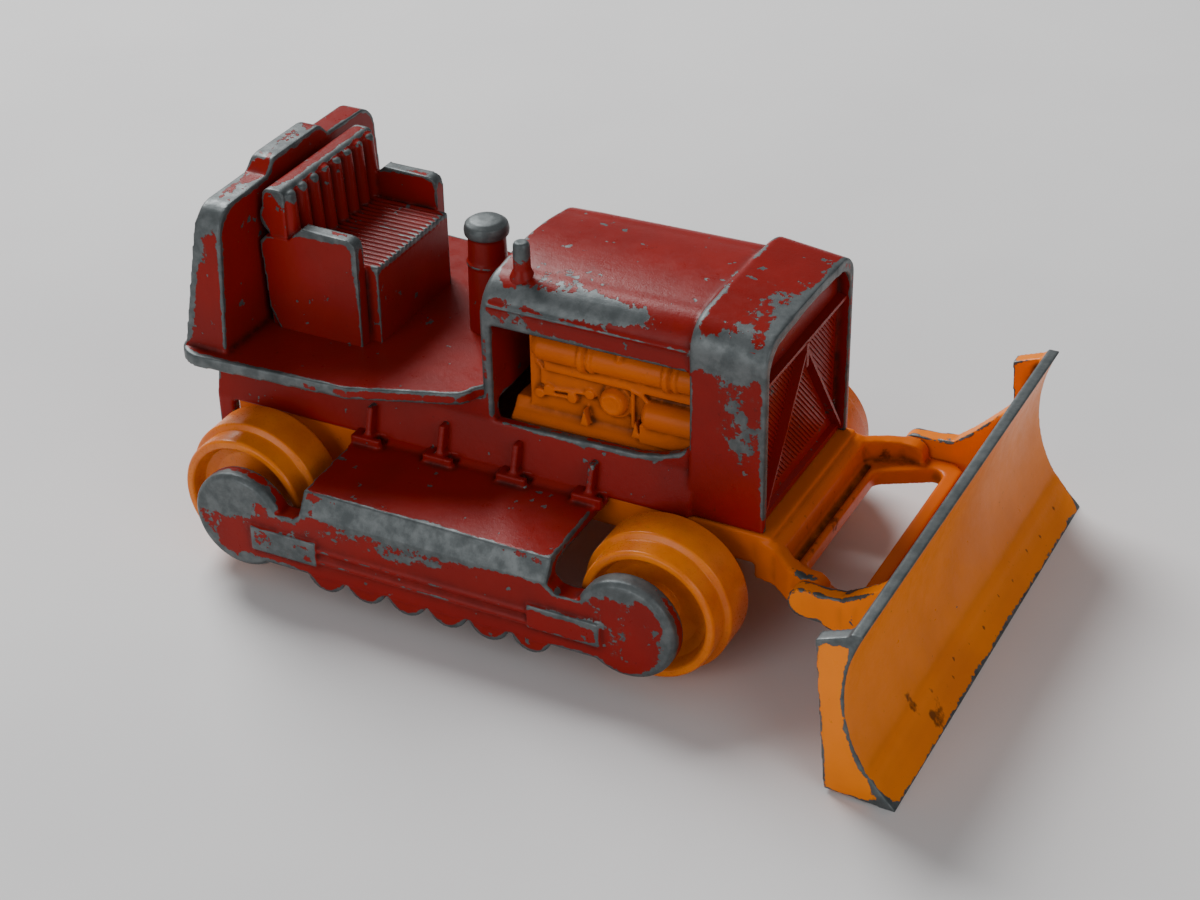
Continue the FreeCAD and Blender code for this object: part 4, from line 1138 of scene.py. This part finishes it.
BASE_RUBS = [
    ((PIVOT.x - 0.5, -BASE_HIGH.y + 0.4, PIVOT.z + 1.4), (1.6, 0.6, 0.5), 0.7),
]


# ---- the whole toy ----


def red_pieces():
    """The red casting, in the stretches that its sharp corners divide it into."""
    made = [("hood_and_skirts", hood(), hood_cuts(), 0.16, BODY_RUBS),
            ("deck_and_tail_plate", [deck(), tail_plate()], (), 0.15, DECK_RUBS),
            ("seat_casting", seat(), (), 0.1, SEAT_RUBS),
            ("stacks", stacks(), (), 0.09, STACK_RUBS)]
    for side, sign in SIDES:
        shapes = on_side(sign, [guard(), *outer_frame(), *brackets()])
        cuts = on_side(sign, axle_slots() + notches())
        rubs = [((x, sign * y, z), size, strength) for (x, y, z), size, strength in TRACK_RUBS]
        made.append((f"{side}_track_guard", shapes, cuts, 0.14, rubs))
    for name, shapes, cuts, cell, rubs in made:
        thing = cast(name, shapes, cuts, cell)
        mark_wear(thing, cell, rubs)
        finish(thing, RED, "chassis", "body_casting")
    face = raw("grille_face", grille())
    for name in ("edge", "rub"):
        note(face.data, name, np.zeros(len(face.data.vertices)))
    finish(face, RED, "chassis", "body_casting")
    face.data.shade_flat()


def base_pieces():
    """The base casting, in an orange enamel that is the blade's enamel painted darker and redder as
    painted shade and painted red bounce light: its plate with the push frame, and the engine.
    """
    made = [("base_and_push_frame", base_plate() + push_frame(), base_cuts(), 0.16),
            ("engine_block", engine(), (), 0.1)]
    for name, shapes, cuts, cell in made:
        thing = cast(name, shapes, cuts, cell)
        mark_wear(thing, cell, BASE_RUBS, 0.45, BASE_SOILS)
        finish(thing, SHADED_BASE_ENAMEL, "chassis", "base_casting")


def blade_piece():
    cell = 0.15
    thing = cast("blade_and_arms", blade(), (), cell)
    mark_wear(thing, cell, BLADE_RUBS, 1.0, BLADE_SOILS)
    finish(thing, YELLOWED, "blade", "blade_casting")


def roller_pieces():
    for end in ("front", "rear"):
        for side, _ in SIDES:
            node = f"{end}_{side}_roller"
            finish(roller(node), PLASTIC, f"{end}_{side}_wheel", node)


def steel_parts():
    for node in ("front_axle", "rear_axle", "front_rivet", "rear_rivet"):
        data = frame["nodes"][node].data
        data.materials.clear()
        data.materials.append(STEEL)


# ---- camera, floor and light ----


def camera():
    """A long lens, low over the near front corner."""
    spot = Vector((73.182, -143.491, 110.386)) * MM
    turn, lift, roll = math.radians(27.47), math.radians(32.20), -0.020
    right = Vector((math.cos(turn), math.sin(turn), 0))
    ahead = Vector((-math.sin(turn) * math.cos(lift), math.cos(turn) * math.cos(lift), -math.sin(lift)))
    up = right.cross(ahead)
    level = right * math.cos(roll) + up * math.sin(roll)
    top = up * math.cos(roll) - right * math.sin(roll)
    view = Matrix((level, top, -ahead)).transposed().to_4x4()
    view.translation = spot
    data = bpy.data.cameras.new("camera")
    data.sensor_width = 36.0
    data.lens = 72.435
    data.clip_start = 0.001
    item = placed("camera", data)
    item.matrix_world = view
    bpy.context.scene.camera = item


def floor():
    """A wide pale floor."""
    half = 1500.0
    thing = raw("floor", [block((-half, half), (-half, half), (-2.0, 0.0))])
    thing.data.transform(Matrix.Scale(MM, 4))
    material, tree, shader = blank("pale_floor")
    place = millimetres(tree)
    cloud = ramp(tree, noise(tree, place, 0.03, 3.0, 0.5, 51.0), 0.3, 0.7)
    colour = blended(tree, cloud, (0.66, 0.65, 0.65, 1), (0.70, 0.69, 0.685, 1))
    feed(tree, shader, {"Base Color": colour, "Roughness": 0.9})
    thing.data.materials.append(material)


def lamp(name, spot, target, size, power):
    data = bpy.data.lights.new(name, "AREA")
    data.shape = "DISK"
    data.size = size
    data.energy = power
    item = placed(name, data)
    item.location = spot
    item.rotation_euler = (Vector(target) - Vector(spot)).to_track_quat("-Z", "Y").to_euler()


def lights():
    """A large soft lamp high behind, a smaller one at the near left, and a pale room all round."""
    lamp("sky_light", (-0.47, 0.31, 0.54), (0, 0, 0.01), 0.40, 8.5)
    lamp("near_light", (-0.16, -0.62, 0.22), (0, 0, 0.01), 0.45, 1.45)
    lamp("front_light", (0.52, -0.30, 0.26), (0.02, 0, 0.01), 0.40, 0.95)
    world = bpy.data.worlds.new("room")
    world.use_nodes = True
    world.node_tree.nodes["Background"].inputs[0].default_value = (0.92, 0.96, 1.0, 1)
    world.node_tree.nodes["Background"].inputs[1].default_value = 0.24
    bpy.context.scene.world = world


red_pieces()
base_pieces()
blade_piece()
roller_pieces()
steel_parts()
camera()
floor()
lights()
